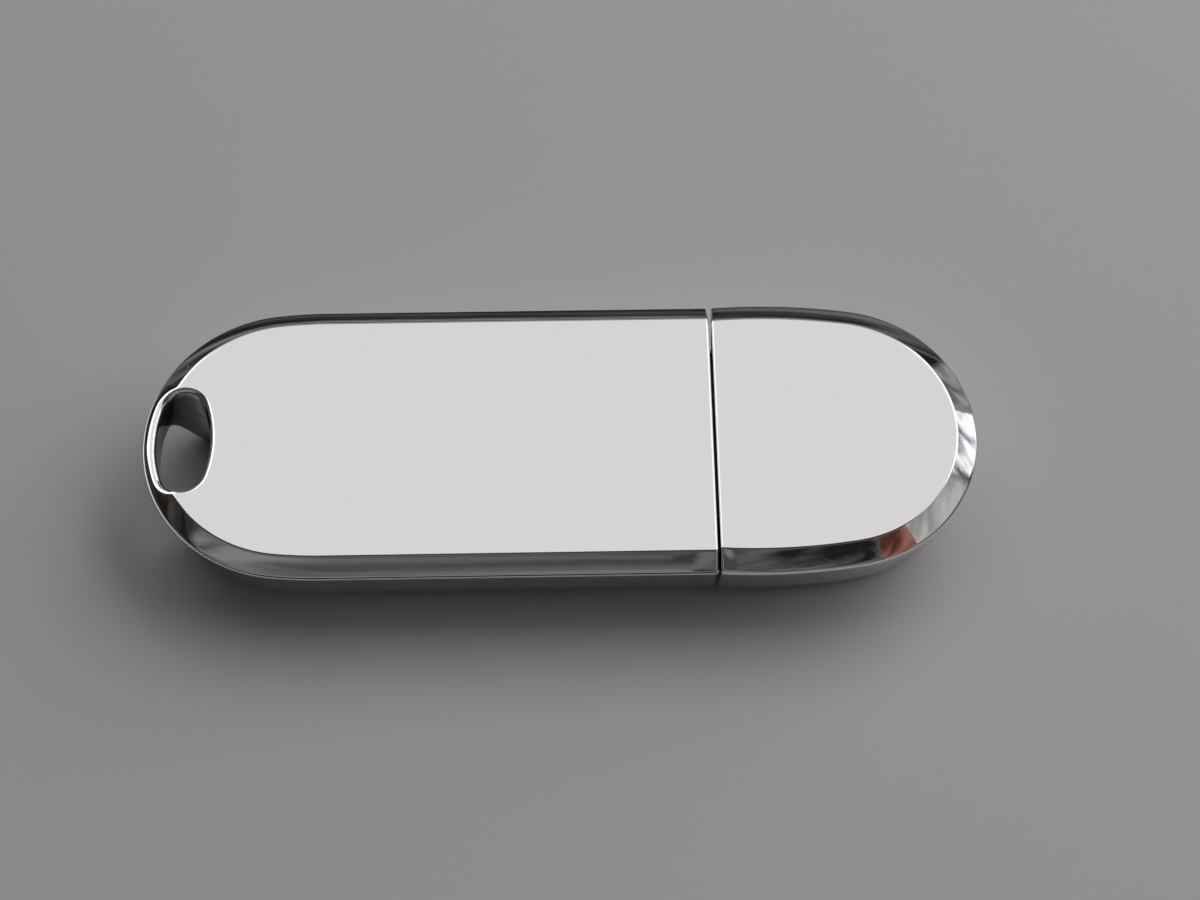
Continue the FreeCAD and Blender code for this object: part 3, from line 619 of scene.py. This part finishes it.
# ------------------------ plug and plastics

def plug_section(half_width, half_height, radius, groove=0.0):
    """The plug tube's section, (y, z), with points at the edges of its latch windows and its seam."""
    loop = [point[1:] for point in rounded_loop(0, 2 * half_width, 2 * half_height, radius)]
    corner = ROUND_STEPS + 1
    marks = [-WINDOW_Y - WINDOW_HALF, -WINDOW_Y + WINDOW_HALF, WINDOW_Y - WINDOW_HALF,
             WINDOW_Y + WINDOW_HALF]
    above = [(y, PLUG_LEVEL + half_height) for y in marks[::-1]]
    bottom = PLUG_LEVEL - half_height
    below = [(y, bottom) for y in marks]
    below[2:2] = [(-SEAM_HALF, bottom), (0, bottom + groove), (SEAM_HALF, bottom)]
    return loop[:corner] + above + loop[corner:3 * corner] + below + loop[3 * corner:]


def make_plug_tube(steel):
    """The stamped tube of the plug: rolled lip, four latch windows, folded seam and solder tabs."""
    skin = Skin()
    outer = plug_section(PLUG_HALF, PLUG_RISE, PLUG_CORNER, SEAM_HALF)
    inner = plug_section(PLUG_HALF - WALL, PLUG_RISE - WALL, PLUG_CORNER - WALL)
    stations = [PLUG_LOW.x, WINDOW_X - WINDOW_HALF, WINDOW_X + WINDOW_HALF, PLUG_HIGH.x - WALL]
    lip = [(PLUG_HIGH.x - WALL + WALL * math.sin(a), (1 - math.cos(a)) / 2)
           for a in steps(0, math.pi, 2 * ROUND_STEPS)]
    corner = ROUND_STEPS + 1
    marks_above, marks_below = corner, 3 * corner + 4
    windows = {marks_above, marks_above + 2, marks_below, marks_below + 5}
    for loop in (outer, inner):
        rows = [[(x, y, z) for y, z in loop] for x in stations]
        for first, second, gaps in zip(rows, rows[1:], ((), windows, ())):
            skin.strip(first, second, True, gaps)
    rolled = []
    for x, share in lip:
        rolled.append([(x, oy + (iy - oy) * share, oz + (iz - oz) * share)
                       for (oy, oz), (iy, iz) in zip(outer, inner)])
    skin.loft(rolled, closed=True)
    skin.strip([(PLUG_LOW.x, y, z) for y, z in outer], [(PLUG_LOW.x, y, z) for y, z in inner], True)
    for i in windows:
        ring = [(stations[1], i), (stations[2], i), (stations[2], i + 1), (stations[1], i + 1)]
        skin.strip([(x, *outer[j]) for x, j in ring], [(x, *inner[j]) for x, j in ring], True)
    for side in (-1, 1):
        ends = sorted((side * (PLUG_HALF - WALL / 2), side * PLUG_HIGH.y))
        skin.block((TAB_START, ends[0], TAB_LEVEL), (TAB_START + TAB_LENGTH, ends[1], TAB_LEVEL + WALL))
    return skin.make("plug_tube", "drive", steel, ["usb_plug_shell"])


def make_tongue(plastic):
    """The tongue that carries the contacts, with the block behind it."""
    skin = Skin()
    low, high = box_mm("plug_insulator")
    top = box_mm("contact_vbus")[1].z - GLIDE
    groove = box_mm("contact_vbus")[0].z
    places = sorted((box_mm(node)[0].y + box_mm(node)[1].y) / 2 for node in CONTACTS)
    half = CONTACT_HALF + GLIDE / 2
    bevel, ease = 0.2, 0.1
    nose = [(0.5, 0), (0.15, 0.35), (0, 0.6)]
    pull = 0.3
    roof = []
    for y in places:
        roof += [(y - half, top), (y - half, groove), (y + half, groove), (y + half, top)]
    section_line = [(low.y, low.z + bevel), (low.y, top - ease), (low.y + ease, top), *roof,
                    (high.y - ease, top), (high.y, top - ease), (high.y, low.z + bevel),
                    (high.y - bevel, low.z), (low.y + bevel, low.z)]
    rows = []
    middle = (low.z + top) / 2
    for x, shrink in [(TONGUE_START, 0)] + [(high.x - back, share) for back, share in nose]:
        rows.append([(x, y * (1 - pull * shrink / high.y), middle + (z - middle) * (1 - shrink))
                     for y, z in section_line])
    skin.bar(rows)
    skin.block((low.x, low.y, low.z), (TONGUE_START, high.y, high.z))
    return skin.make("plug_tongue", "drive", plastic, ["plug_insulator"])


def make_contact(node, gold):
    """One contact strip with eased edges and a nose that bends down into the tongue."""
    skin = Skin()
    low, high = box_mm(node)
    ease = 0.05
    edge = [(0, 0), (0, 0.7), (0.3 * ease, 0.92), (ease, 1)]
    nose = [(0.5, 1), (0.32, 0.93), (0.16, 0.72), (0.05, 0.45), (0, 0.2)]
    rows = []
    for x, lift in [(low.x, 1)] + [(high.x - back, share) for back, share in nose]:
        up = (high.z - low.z) * lift
        rows.append([(x, low.y + inset, low.z + up * share) for inset, share in edge]
                    + [(x, high.y - inset, low.z + up * share) for inset, share in edge[::-1]])
    skin.bar(rows)
    return skin.make(node + "_strip", "drive", gold, [node])


def make_collar(plastic):
    """The bezel in the body's mouth: a flange, and a neck with eased edges that centres the cap."""
    skin = Skin()
    low, high = box_mm("plug_collar")
    foot = high.y - (high.z - low.z) * FLANK / RIDGE
    outline = [(-foot, low.z), (foot, low.z), (high.y, high.z), (-high.y, high.z)]
    ease, lead = 0.3, 0.2
    outside = [rounded_loop(x, *NECK) for x in (BODY_SEAM, high.x - ease)]
    for a in steps(0, math.pi / 2, ROUND_STEPS)[1:]:
        cut = ease * (1 - math.cos(a))
        outside.append(rounded_loop(high.x - ease + ease * math.sin(a), *grown(NECK, -cut)))
    hole = grown(PLUG_SIZE, GLIDE)
    skin.loft([*outside, rounded_loop(high.x, *grown(hole, lead)), rounded_loop(high.x - lead, *hole),
               rounded_loop(low.x, *hole)], closed=True)
    inner = {low.x: rounded_loop(low.x, *hole), BODY_SEAM: outside[0]}
    for x, loop in inner.items():
        ring = [(y, z) for _, y, z in loop]
        skin.fill([closed_line(outline), closed_line(ring)], lambda y, z, x=x: (x, y, z),
                  lambda y, z: not inside(y, z, ring))
    skin.strip([(low.x, *spot) for spot in outline], [(BODY_SEAM, *spot) for spot in outline], True)
    return skin.make("plug_bezel", "drive", plastic, ["plug_collar"])


def make_liner(plastic):
    """The stepped insert in the cap that grips the plug, with a lead-in round its mouth."""
    skin = Skin()
    low, high = box_mm("cap_liner")
    step = CAP_SEAM + BORE[0][3] - 2 * GLIDE
    wide, narrow = (grown(bore, -GLIDE) for bore in BORE[:2])
    play, lead = 0.12, 0.35
    hole = grown(PLUG_SIZE, play)
    skin.loft([rounded_loop(low.x + lead, *hole), rounded_loop(low.x, *grown(hole, lead)),
               rounded_loop(low.x, *wide), rounded_loop(step, *wide), rounded_loop(step, *narrow),
               rounded_loop(high.x, *narrow), rounded_loop(high.x, *hole),
               rounded_loop(low.x + lead, *hole)], closed=True)
    return skin.make("cap_insert", "cap", plastic, ["cap_liner"])


# ------------------------ materials

class Paint:
    """A material whose Principled shader is fed by procedural textures measured in millimetres."""

    def __init__(self, name, colour, metallic=0.0, roughness=0.5, **fixed):
        self.material = bpy.data.materials.new(name)
        self.material.use_nodes = True
        self.tree = self.material.node_tree
        self.shader = self.tree.nodes["Principled BSDF"]
        self.set("Base Color", (*colour, 1))
        self.set("Metallic", metallic)
        self.set("Roughness", roughness)
        for socket, value in fixed.items():
            self.set(socket.replace("_", " "), value)
        self.place = self.tree.nodes.new("ShaderNodeTexCoord").outputs["Object"]
        self.height = None

    def set(self, socket, value):
        """Feed a socket of the shader: a link where value is an output, else a constant."""
        self.feed(self.shader.inputs[socket], value)

    def feed(self, socket, value):
        """Connect an output to a socket, or give the socket a constant."""
        if isinstance(value, bpy.types.NodeSocket):
            self.tree.links.new(value, socket)
        elif value is not None:
            socket.default_value = value

    def node(self, kind, **inputs):
        """A new node with some of its inputs fed."""
        made = self.tree.nodes.new("ShaderNode" + kind)
        for name, value in inputs.items():
            self.feed(made.inputs[name.replace("_", " ")], value)
        return made

    def spots(self, scale, turn=0.0):
        """Object coordinates turned about Z and scaled; scale is in repeats a millimetre."""
        turned = self.node("Mapping", Vector=self.place, Rotation=(0, 0, math.radians(turn)))
        sized = self.node("Mapping", Vector=turned.outputs[0], Scale=tuple(s / MM for s in scale))
        return sized.outputs[0]

    def noise(self, *scale, turn=0.0, detail=2.0):
        """Noise, from 0 to 1; one scale for all axes or three."""
        scale = scale * 3 if len(scale) == 1 else scale
        made = self.node("TexNoise", Vector=self.spots(scale, turn), Scale=1.0, Detail=detail)
        return made.outputs["Fac"]

    def cells(self, scale):
        """Distance to the nearest of a scatter of points, in cell sizes."""
        made = self.node("TexVoronoi", Vector=self.spots((scale,) * 3), Scale=1.0)
        return made.outputs["Distance"]

    def math(self, operation, first, second=None):
        """A sum, product or other function of numbers."""
        return math_node(self.tree, operation, first, second)

    def times(self, first, second):
        """The product of two numbers."""
        return self.math("MULTIPLY", first, second)

    def span(self, value, low, high, start, end):
        """Map low..high onto start..end, held at both ends."""
        made = self.node("MapRange", Value=value)
        for name, number in (("From Min", low), ("From Max", high), ("To Min", start), ("To Max", end)):
            made.inputs[name].default_value = number
        return made.outputs[0]

    def blend(self, share, first, second):
        """A mix of two colours."""
        made = self.tree.nodes.new("ShaderNodeMix")
        made.data_type = "RGBA"
        self.feed(made.inputs["Factor"], share)
        for slot_name, colour in (("A", first), ("B", second)):
            socket = next(i for i in made.inputs if i.name == slot_name and i.type == "RGBA")
            self.feed(socket, colour if isinstance(colour, bpy.types.NodeSocket) else (*colour, 1))
        return next(o for o in made.outputs if o.type == "RGBA")

    def tint(self, share, first, second):
        """Colour the surface with a mix of two colours."""
        self.set("Base Color", self.blend(share, first, second))

    def relief(self, height, depth):
        """Add a height map, from 0 to 1 and depth millimetres deep, to the surface's bumps."""
        scaled = self.times(height, depth * MM)
        self.height = scaled if self.height is None else self.math("ADD", self.height, scaled)

    def finish(self):
        """Connect the bumps and hand over the material."""
        if self.height is not None:
            bump = self.node("Bump", Height=self.height, Distance=1.0)
            self.set("Normal", bump.outputs["Normal"])
        return self.material


def math_node(tree, operation, first, second=None):
    """A math node's output; each input is a socket or a number."""
    node = tree.nodes.new("ShaderNodeMath")
    node.operation = operation
    for socket, value in zip(node.inputs, (first, second)):
        if isinstance(value, (int, float)):
            socket.default_value = value
        elif value is not None:
            tree.links.new(value, socket)
    return node.outputs[0]


def thread(paint, turn, length, width, rarity):
    """Fine straight scratches: 1 on a scratch and 0 off it."""
    lines = paint.noise(1 / length, 1 / width, 1 / length, turn=turn, detail=1.0)
    return paint.span(lines, rarity, rarity + 0.03, 0, 1)


def make_chrome():
    """Mirror plating: a faint swell, polishing haze, scratches, dust, and painted shade darkening the
    slot's walls.
    """
    # The third colour is the dark grey of the painted shade on the slot's walls.
    bright, scraped, slot_shade_grey = (0.92, 0.91, 0.9), (0.78, 0.77, 0.76), (0.28, 0.28, 0.273)
    paint = Paint("polished_chrome", bright, metallic=1)
    patches = paint.span(paint.noise(0.09, detail=1.0), 0.42, 0.62, 0, 1)
    hairs = paint.times(thread(paint, 33, 7, 0.07, 0.71), patches)
    fine = thread(paint, 28, 3, 0.035, 0.74)
    wiped = thread(paint, -52, 5, 0.06, 0.78)
    marks = paint.math("MAXIMUM", hairs, paint.math("MAXIMUM", wiped, paint.times(fine, 0.4)))
    dust = paint.span(paint.cells(0.45), 0.016, 0.024, 1, 0)
    haze = paint.span(paint.noise(0.35, detail=4.0), 0.3, 0.75, 0.028, 0.06)
    rough = paint.math("ADD", haze, paint.times(marks, 0.07))
    paint.set("Roughness", paint.math("ADD", rough, paint.times(dust, 0.5)))
    worn = paint.blend(paint.times(marks, 0.5), bright, scraped)
    # Painted shade: within the slot, below a ragged line under the top, the chrome is mixed towards dark
    # grey.
    split = paint.node("SeparateXYZ", Vector=paint.spots((1, 1, 1)))
    beside = paint.math("DIVIDE", paint.math("SUBTRACT", split.outputs["X"], SLOT_X), SLOT_HALF)
    along = paint.math("DIVIDE", split.outputs["Y"], SLOT_REACH)
    squares = [paint.times(way, way) for way in (beside, along)]
    inside = paint.span(paint.math("ADD", *squares), 1.15, 1.3, 1, 0)
    ragged = paint.math("ADD", split.outputs["Z"], paint.noise(1.5, detail=3.0))
    depth = paint.span(ragged, RIDGE + 0.4, RIDGE + 1, 1, 0)
    slot_shade_share = paint.times(paint.times(inside, depth), 0.9)
    paint.tint(slot_shade_share, worn, slot_shade_grey)
    paint.relief(paint.noise(0.16, detail=1.0), 0.012)
    paint.relief(paint.noise(1.1, detail=2.0), 0.0006)
    paint.relief(marks, -0.0005)
    paint.relief(dust, 0.004)
    return paint.finish()


def make_steel():
    """Nickel-plated strip: a rolled grain along the plug, rub marks and a mottled sheen."""
    paint = Paint("plug_nickel", (0.78, 0.76, 0.73), metallic=1)
    grain = paint.noise(0.25, 9, 9, detail=3.0)
    rubs = paint.span(paint.noise(0.1, 3.5, 3.5, detail=1.0), 0.62, 0.7, 0, 1)
    mottle = paint.noise(0.7, detail=4.0)
    rolled = paint.math("ADD", paint.span(grain, 0.3, 0.7, 0.17, 0.27), paint.times(rubs, 0.14))
    paint.set("Roughness", paint.math("ADD", rolled, paint.span(mottle, 0.3, 0.7, 0, 0.08)))
    paint.tint(paint.span(mottle, 0.35, 0.7, 0, 0.6), (0.8, 0.78, 0.75), (0.68, 0.65, 0.61))
    paint.relief(grain, 0.0015)
    paint.relief(rubs, -0.002)
    return paint.finish()


def make_gold():
    """Thin gold plating, wiped along its length, with darker stains."""
    paint = Paint("contact_plating", (0.95, 0.7, 0.3), metallic=1)
    wipes = paint.noise(0.3, 11, 11, detail=2.0)
    stains = paint.noise(1.3, detail=4.0)
    paint.set("Roughness", paint.span(wipes, 0.3, 0.7, 0.14, 0.34))
    paint.tint(paint.span(stains, 0.45, 0.75, 0, 0.7), (0.96, 0.72, 0.32), (0.72, 0.45, 0.16))
    paint.relief(wipes, 0.0015)
    return paint.finish()


def make_plastic(name, colour, roughness, grain):
    """Moulded plastic with a spark-eroded grain and a slightly uneven sheen."""
    paint = Paint(name, colour, roughness=roughness)
    texture = paint.noise(grain, detail=3.0)
    sheen = paint.noise(0.5, detail=3.0)
    pale = tuple(min(1.0, part * 1.5 + 0.01) for part in colour)
    paint.set("Roughness", paint.span(sheen, 0.3, 0.7, roughness - 0.07, roughness + 0.09))
    paint.tint(paint.span(texture, 0.45, 0.8, 0, 0.7), colour, pale)
    paint.relief(texture, 0.012)
    paint.relief(paint.cells(2.2 * grain), 0.004)
    return paint.finish()


def make_solder_mask():
    """Green solder mask over copper: tracks show as lighter, raised runs, with a glossy coat."""
    paint = Paint("solder_mask", (0.01, 0.13, 0.05), roughness=0.35)
    bricks = paint.node("TexBrick", Vector=paint.spots((0.35, 0.6, 0.35)), Scale=1.0)
    bricks.inputs["Mortar Size"].default_value = 0.09
    plain = paint.math("SUBTRACT", 1.0, bricks.outputs["Fac"])
    weave = paint.noise(3.5, detail=2.0)
    paint.tint(plain, (0.025, 0.25, 0.09), (0.008, 0.11, 0.045))
    paint.set("Roughness", paint.span(weave, 0.3, 0.7, 0.22, 0.38))
    paint.set("Coat Weight", 0.4)
    paint.relief(plain, -0.03)
    paint.relief(weave, 0.004)
    return paint.finish()


def make_metal(name, colour, low, high, grain):
    """Plated or drawn metal whose roughness runs from low to high in a fine grain."""
    paint = Paint(name, colour, metallic=1)
    crystals = paint.cells(grain)
    clouds = paint.noise(grain / 3, detail=4.0)
    dull = tuple(part * 0.8 for part in colour)
    paint.set("Roughness", paint.span(clouds, 0.3, 0.7, low, high))
    paint.tint(paint.span(crystals, 0.1, 0.8, 0, 0.6), colour, dull)
    paint.relief(clouds, 0.006)
    return paint.finish()


def make_chip_part(name, colour, node):
    """Ceramic bodies in a row, each with a bright cap at both ends."""
    paint = Paint(name, colour, roughness=0.45)
    start = box_mm(node)[0].x
    length, pitch, cap = 1.6, 2.4, 0.3
    split = paint.node("SeparateXYZ", Vector=paint.spots((1, 1, 1)))
    along = paint.math("FLOORED_MODULO", paint.math("SUBTRACT", split.outputs["X"], start), pitch)
    middle = paint.math("ABSOLUTE", paint.math("SUBTRACT", along, length / 2))
    capped = paint.math("GREATER_THAN", middle, length / 2 - cap)
    grit = paint.noise(6, detail=3.0)
    body = paint.blend(grit, colour, tuple(part * 0.75 for part in colour))
    paint.tint(capped, body, (0.78, 0.78, 0.77))
    paint.set("Metallic", capped)
    paint.relief(grit, 0.01)
    return paint.finish()


def make_film():
    """Amber polyimide film with a faint crinkle."""
    paint = Paint("polyimide_film", (0.55, 0.24, 0.03), roughness=0.25, Coat_Weight=0.5)
    crinkle = paint.noise(0.4, detail=4.0)
    paint.tint(crinkle, (0.6, 0.27, 0.04), (0.42, 0.16, 0.02))
    paint.set("Roughness", paint.span(crinkle, 0.3, 0.7, 0.18, 0.34))
    paint.relief(crinkle, 0.05)
    return paint.finish()


def make_foam():
    """Closed-cell foam with open cells cut through its faces."""
    paint = Paint("cell_foam", (0.12, 0.12, 0.125), roughness=0.9)
    cells = paint.cells(4.5)
    # Painted shade: each open cell is coloured darker towards its middle, where the bumps sink into a
    # pit.
    paint.tint(cells, (0.05, 0.05, 0.052), (0.2, 0.2, 0.205))
    paint.relief(cells, 0.15)
    return paint.finish()


def make_materials():
    """Every material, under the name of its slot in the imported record."""
    return {
        "case_chrome": make_chrome(),
        "plug_steel": make_steel(),
        "contact_gold": make_gold(),
        "black_plastic": make_plastic("black_moulding", (0.014, 0.014, 0.015), 0.42, 6),
        "tongue_plastic": make_plastic("tongue_nylon", (0.022, 0.022, 0.024), 0.5, 9),
        "tray_grey": make_plastic("tray_moulding", (0.4, 0.41, 0.42), 0.5, 5),
        "chip_black": make_plastic("chip_epoxy", (0.02, 0.02, 0.022), 0.55, 8),
        "board_green": make_solder_mask(),
        "lead_tin": make_metal("tin_plating", (0.8, 0.81, 0.82), 0.25, 0.45, 12),
        "crystal_steel": make_metal("drawn_can", (0.76, 0.75, 0.73), 0.15, 0.3, 4),
        "capacitor_tan": make_chip_part("capacitor_ceramic", (0.42, 0.27, 0.15), "ceramic_capacitors"),
        "resistor_black": make_chip_part("resistor_glaze", (0.02, 0.02, 0.022), "chip_resistors"),
        "film_amber": make_film(),
        "foam_grey": make_foam(),
    }


def repaint_nodes(paints):
    """Give every CAD node the material that is named after its slot."""
    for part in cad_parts.values():
        for place in part.material_slots:
            place.material = paints[place.material.name]


# ------------------------ studio

# The camera: yaw, pitch and roll in degrees; aim, distance and lens in millimetres
CAMERA_TURN = (2.3167, 62.4679, -1.2144)
CAMERA_AIM = (-3.3064, 2.8050)
CAMERA_DISTANCE = 275.143
CAMERA_LENS = 96.04
# The floor's size and shade, and the surround's shade from the horizon up
FLOOR_HALF = 1.5
FLOOR_SHADE = 0.64
SKY = [(0.0, 0.008), (0.3, 0.015), (0.6, 0.03), (1.0, 0.05)]
# How quickly a paper's edge fades, and its streaks across its width and height
PAPER_EDGE = 3.0
PAPER_STREAKS = (2.5, 9.0, 1.0)
# Lamps: azimuth and elevation; distance, width and height in metres; radiance; whether mirrored
LAMPS = [
    ("key", 4, 64, 0.9, 1.3, 0.76, 0.68, True),
    ("window", 58, 36, 0.7, 0.9, 0.7, 1.4, False),
]
# Cards: azimuth and elevation; distance; angles across and up; darkest and lightest shade
CARDS = [
    ("rear_low", -4, 0, 0.05, 109, 18, (0.012, 0.012, 0.012), (0.065, 0.065, 0.064)),
    ("rear", -4, 0, 0.35, 100, 22, (0.012, 0.012, 0.012), (0.14, 0.14, 0.138)),
    ("grey_right", 49, 12, 0.35, 20, 22, (0.1, 0.1, 0.1), (0.3, 0.3, 0.3)),
    ("bright_right", 66, 20, 0.35, 28, 30, (0.14, 0.16, 0.19), (1.5, 1.5, 1.55)),
    ("pale_right", 106, 38, 0.35, 46, 34, (0.26, 0.26, 0.26), (0.46, 0.46, 0.46)),
    ("warm_right", 134, 45, 0.35, 27, 30, (0.07, 0.026, 0.019), (0.28, 0.125, 0.095)),
    ("dark_right", 154, 47, 0.345, 32, 44, (0.012, 0.012, 0.012), (0.13, 0.13, 0.128)),
    ("front", 188, 47, 0.35, 100, 44, (0.055, 0.055, 0.055), (0.21, 0.21, 0.206)),
    ("left", -88, 18, 0.35, 76, 40, (0.013, 0.011, 0.01), (0.05, 0.046, 0.043)),
    ("fill_rear", 0, 25, 0.35, 90, 18, (0.3, 0.3, 0.3), (0.4, 0.4, 0.4)),
    ("fill_front", 180, 15, 0.35, 100, 20, (0.2, 0.2, 0.2), (0.28, 0.28, 0.28)),
    ("glint_left", -52, 36, 0.35, 44, 38, (1.1, 1.1, 1.1), (1.4, 1.4, 1.4)),
    ("glint_right", 52, 37, 0.35, 44, 36, (1.1, 1.1, 1.1), (1.4, 1.4, 1.4)),
]


def make_floor():
    """A plain, pale, matt floor."""
    mesh = bmesh.new()
    bmesh.ops.create_grid(mesh, x_segments=1, y_segments=1, size=FLOOR_HALF)
    paint = Paint("floor_paint", [FLOOR_SHADE] * 3, roughness=0.8, Specular_IOR_Level=0.0)
    thing = link_mesh("floor", mesh, paint.finish())


def direction(azimuth, elevation):
    """The unit vector at an azimuth from +Y towards +X and an elevation, in degrees."""
    a, e = math.radians(azimuth), math.radians(elevation)
    return Vector((math.sin(a) * math.cos(e), math.cos(a) * math.cos(e), math.sin(e)))


def hang(thing, azimuth, elevation, distance):
    """Place a light or card so that it faces the drive."""
    away = direction(azimuth, elevation)
    thing.location = away * distance
    thing.rotation_mode = "QUATERNION"
    thing.rotation_quaternion = away.to_track_quat("Z", "Y")


def panel(name, azimuth, elevation, distance, width, height, radiance, mirrored):
    """A soft rectangular light that faces the drive; chrome shows it if it's mirrored."""
    light = bpy.data.lights.new(name, "AREA")
    light.shape = "RECTANGLE"
    light.size, light.size_y = width, height
    light.energy = radiance * math.pi * width * height
    thing = link(name, light)
    hang(thing, azimuth, elevation, distance)
    thing.visible_glossy = mirrored


def make_paper(name, dark, light):
    """A glowing paper, mottled in streaks, whose edges fade out so that no hard border shows."""
    paint = Paint(name + "_paper", dark)
    place = paint.node("TexCoord").outputs["Generated"]
    split = paint.node("SeparateXYZ", Vector=place)
    cover = None
    for axis in "XY":
        wave = paint.math("SINE", paint.times(split.outputs[axis], math.pi))
        soft = paint.times(wave, PAPER_EDGE)
        soft.node.use_clamp = True
        cover = soft if cover is None else paint.times(cover, soft)
    streaks = paint.node("Mapping", Vector=place, Scale=PAPER_STREAKS)
    shade = paint.node("TexNoise", Vector=streaks.outputs[0], Scale=1.0, Detail=3.0).outputs["Fac"]
    glow = paint.node("Emission", Color=paint.blend(paint.span(shade, 0.4, 0.6, 0, 1), dark, light))
    mix = paint.node("MixShader", Fac=cover)
    paint.feed(mix.inputs[1], paint.node("BsdfTransparent").outputs[0])
    paint.feed(mix.inputs[2], glow.outputs[0])
    paint.feed(paint.tree.nodes["Material Output"].inputs["Surface"], mix.outputs[0])
    paint.tree.nodes.remove(paint.shader)
    return paint.material


def card(name, azimuth, elevation, distance, width, height, dark, light):
    """A card that only shows in reflections, as a photographer hangs beside chrome.

    Width and height are the angles it spans, in degrees, as seen from the drive.
    """
    mesh = bmesh.new()
    bmesh.ops.create_grid(mesh, x_segments=1, y_segments=1, size=0.5)
    spans = [2 * distance * math.tan(math.radians(angle / 2)) for angle in (width, height)]
    mesh.transform(Matrix.Diagonal((*spans, 1, 1)))
    thing = link_mesh(name, mesh, make_paper(name, dark, light))
    hang(thing, azimuth, elevation, distance)
    thing.visible_camera = thing.visible_diffuse = thing.visible_shadow = False
    thing.visible_transmission = thing.visible_volume_scatter = False


def make_world():
    """An even grey surround that grows lighter upwards."""
    world = bpy.data.worlds.new("studio")
    bpy.context.scene.world = world
    world.use_nodes = True
    tree = world.node_tree
    kinds = ("TexCoord", "SeparateXYZ", "ValToRGB")
    place, split, ramp = (tree.nodes.new("ShaderNode" + kind) for kind in kinds)
    tree.links.new(place.outputs["Generated"], split.inputs["Vector"])
    tree.links.new(split.outputs["Z"], ramp.inputs["Fac"])
    tree.links.new(ramp.outputs["Color"], tree.nodes["Background"].inputs["Color"])
    stops = ramp.color_ramp.elements
    stops.remove(stops[0])
    stops[0].position, stops[0].color = SKY[-1][0], (*[SKY[-1][1]] * 3, 1)
    for height, shade in SKY[:-1]:
        stops.new(height).color = (*[shade] * 3, 1)


def make_camera():
    """The camera, at the angle that shows the top, the front flank and the slot."""
    yaw, pitch, roll = (math.radians(angle) for angle in CAMERA_TURN)
    ahead = Vector((math.sin(yaw) * math.cos(pitch), math.cos(yaw) * math.cos(pitch), -math.sin(pitch)))
    level = Vector((math.cos(yaw), -math.sin(yaw), 0))
    below = ahead.cross(level)
    right = math.cos(roll) * level + math.sin(roll) * below
    down = math.cos(roll) * below - math.sin(roll) * level
    data = bpy.data.cameras.new("camera")
    data.lens, data.sensor_width = CAMERA_LENS, 36
    data.clip_start, data.clip_end = 0.01, 10
    thing = link("camera", data)
    spot = -ahead * CAMERA_DISTANCE - right * CAMERA_AIM[0] - down * CAMERA_AIM[1]
    turn = Matrix((right, -down, -ahead)).transposed()
    thing.matrix_world = Matrix.Translation(spot * MM) @ turn.to_4x4()
    bpy.context.scene.camera = thing


# ------------------------ scene

paints = make_materials()
repaint_nodes(paints)
slot = Slot()
body_rim = Outline(BODY_CROWN, BODY_HALF, -TIP, BODY_SIDE, straight=True)
cap_rim = Outline(CAP_CROWN, CAP_HALF, TIP, CAP_SIDE, straight=False)
make_cover(paints["case_chrome"], slot, body_rim)
make_lower_shell(paints["case_chrome"], slot, body_rim)
make_cap(paints["case_chrome"], cap_rim)
make_plug_tube(paints["plug_steel"])
make_tongue(paints["tongue_plastic"])
for node in CONTACTS:
    make_contact(node, paints["contact_gold"])
make_collar(paints["black_plastic"])
make_liner(paints["black_plastic"])
make_floor()
make_world()
for lamp in LAMPS:
    panel(*lamp)
for name, *placing in CARDS:
    card("card_" + name, *placing)
make_camera()
bpy.context.scene.view_settings.view_transform = "Standard"
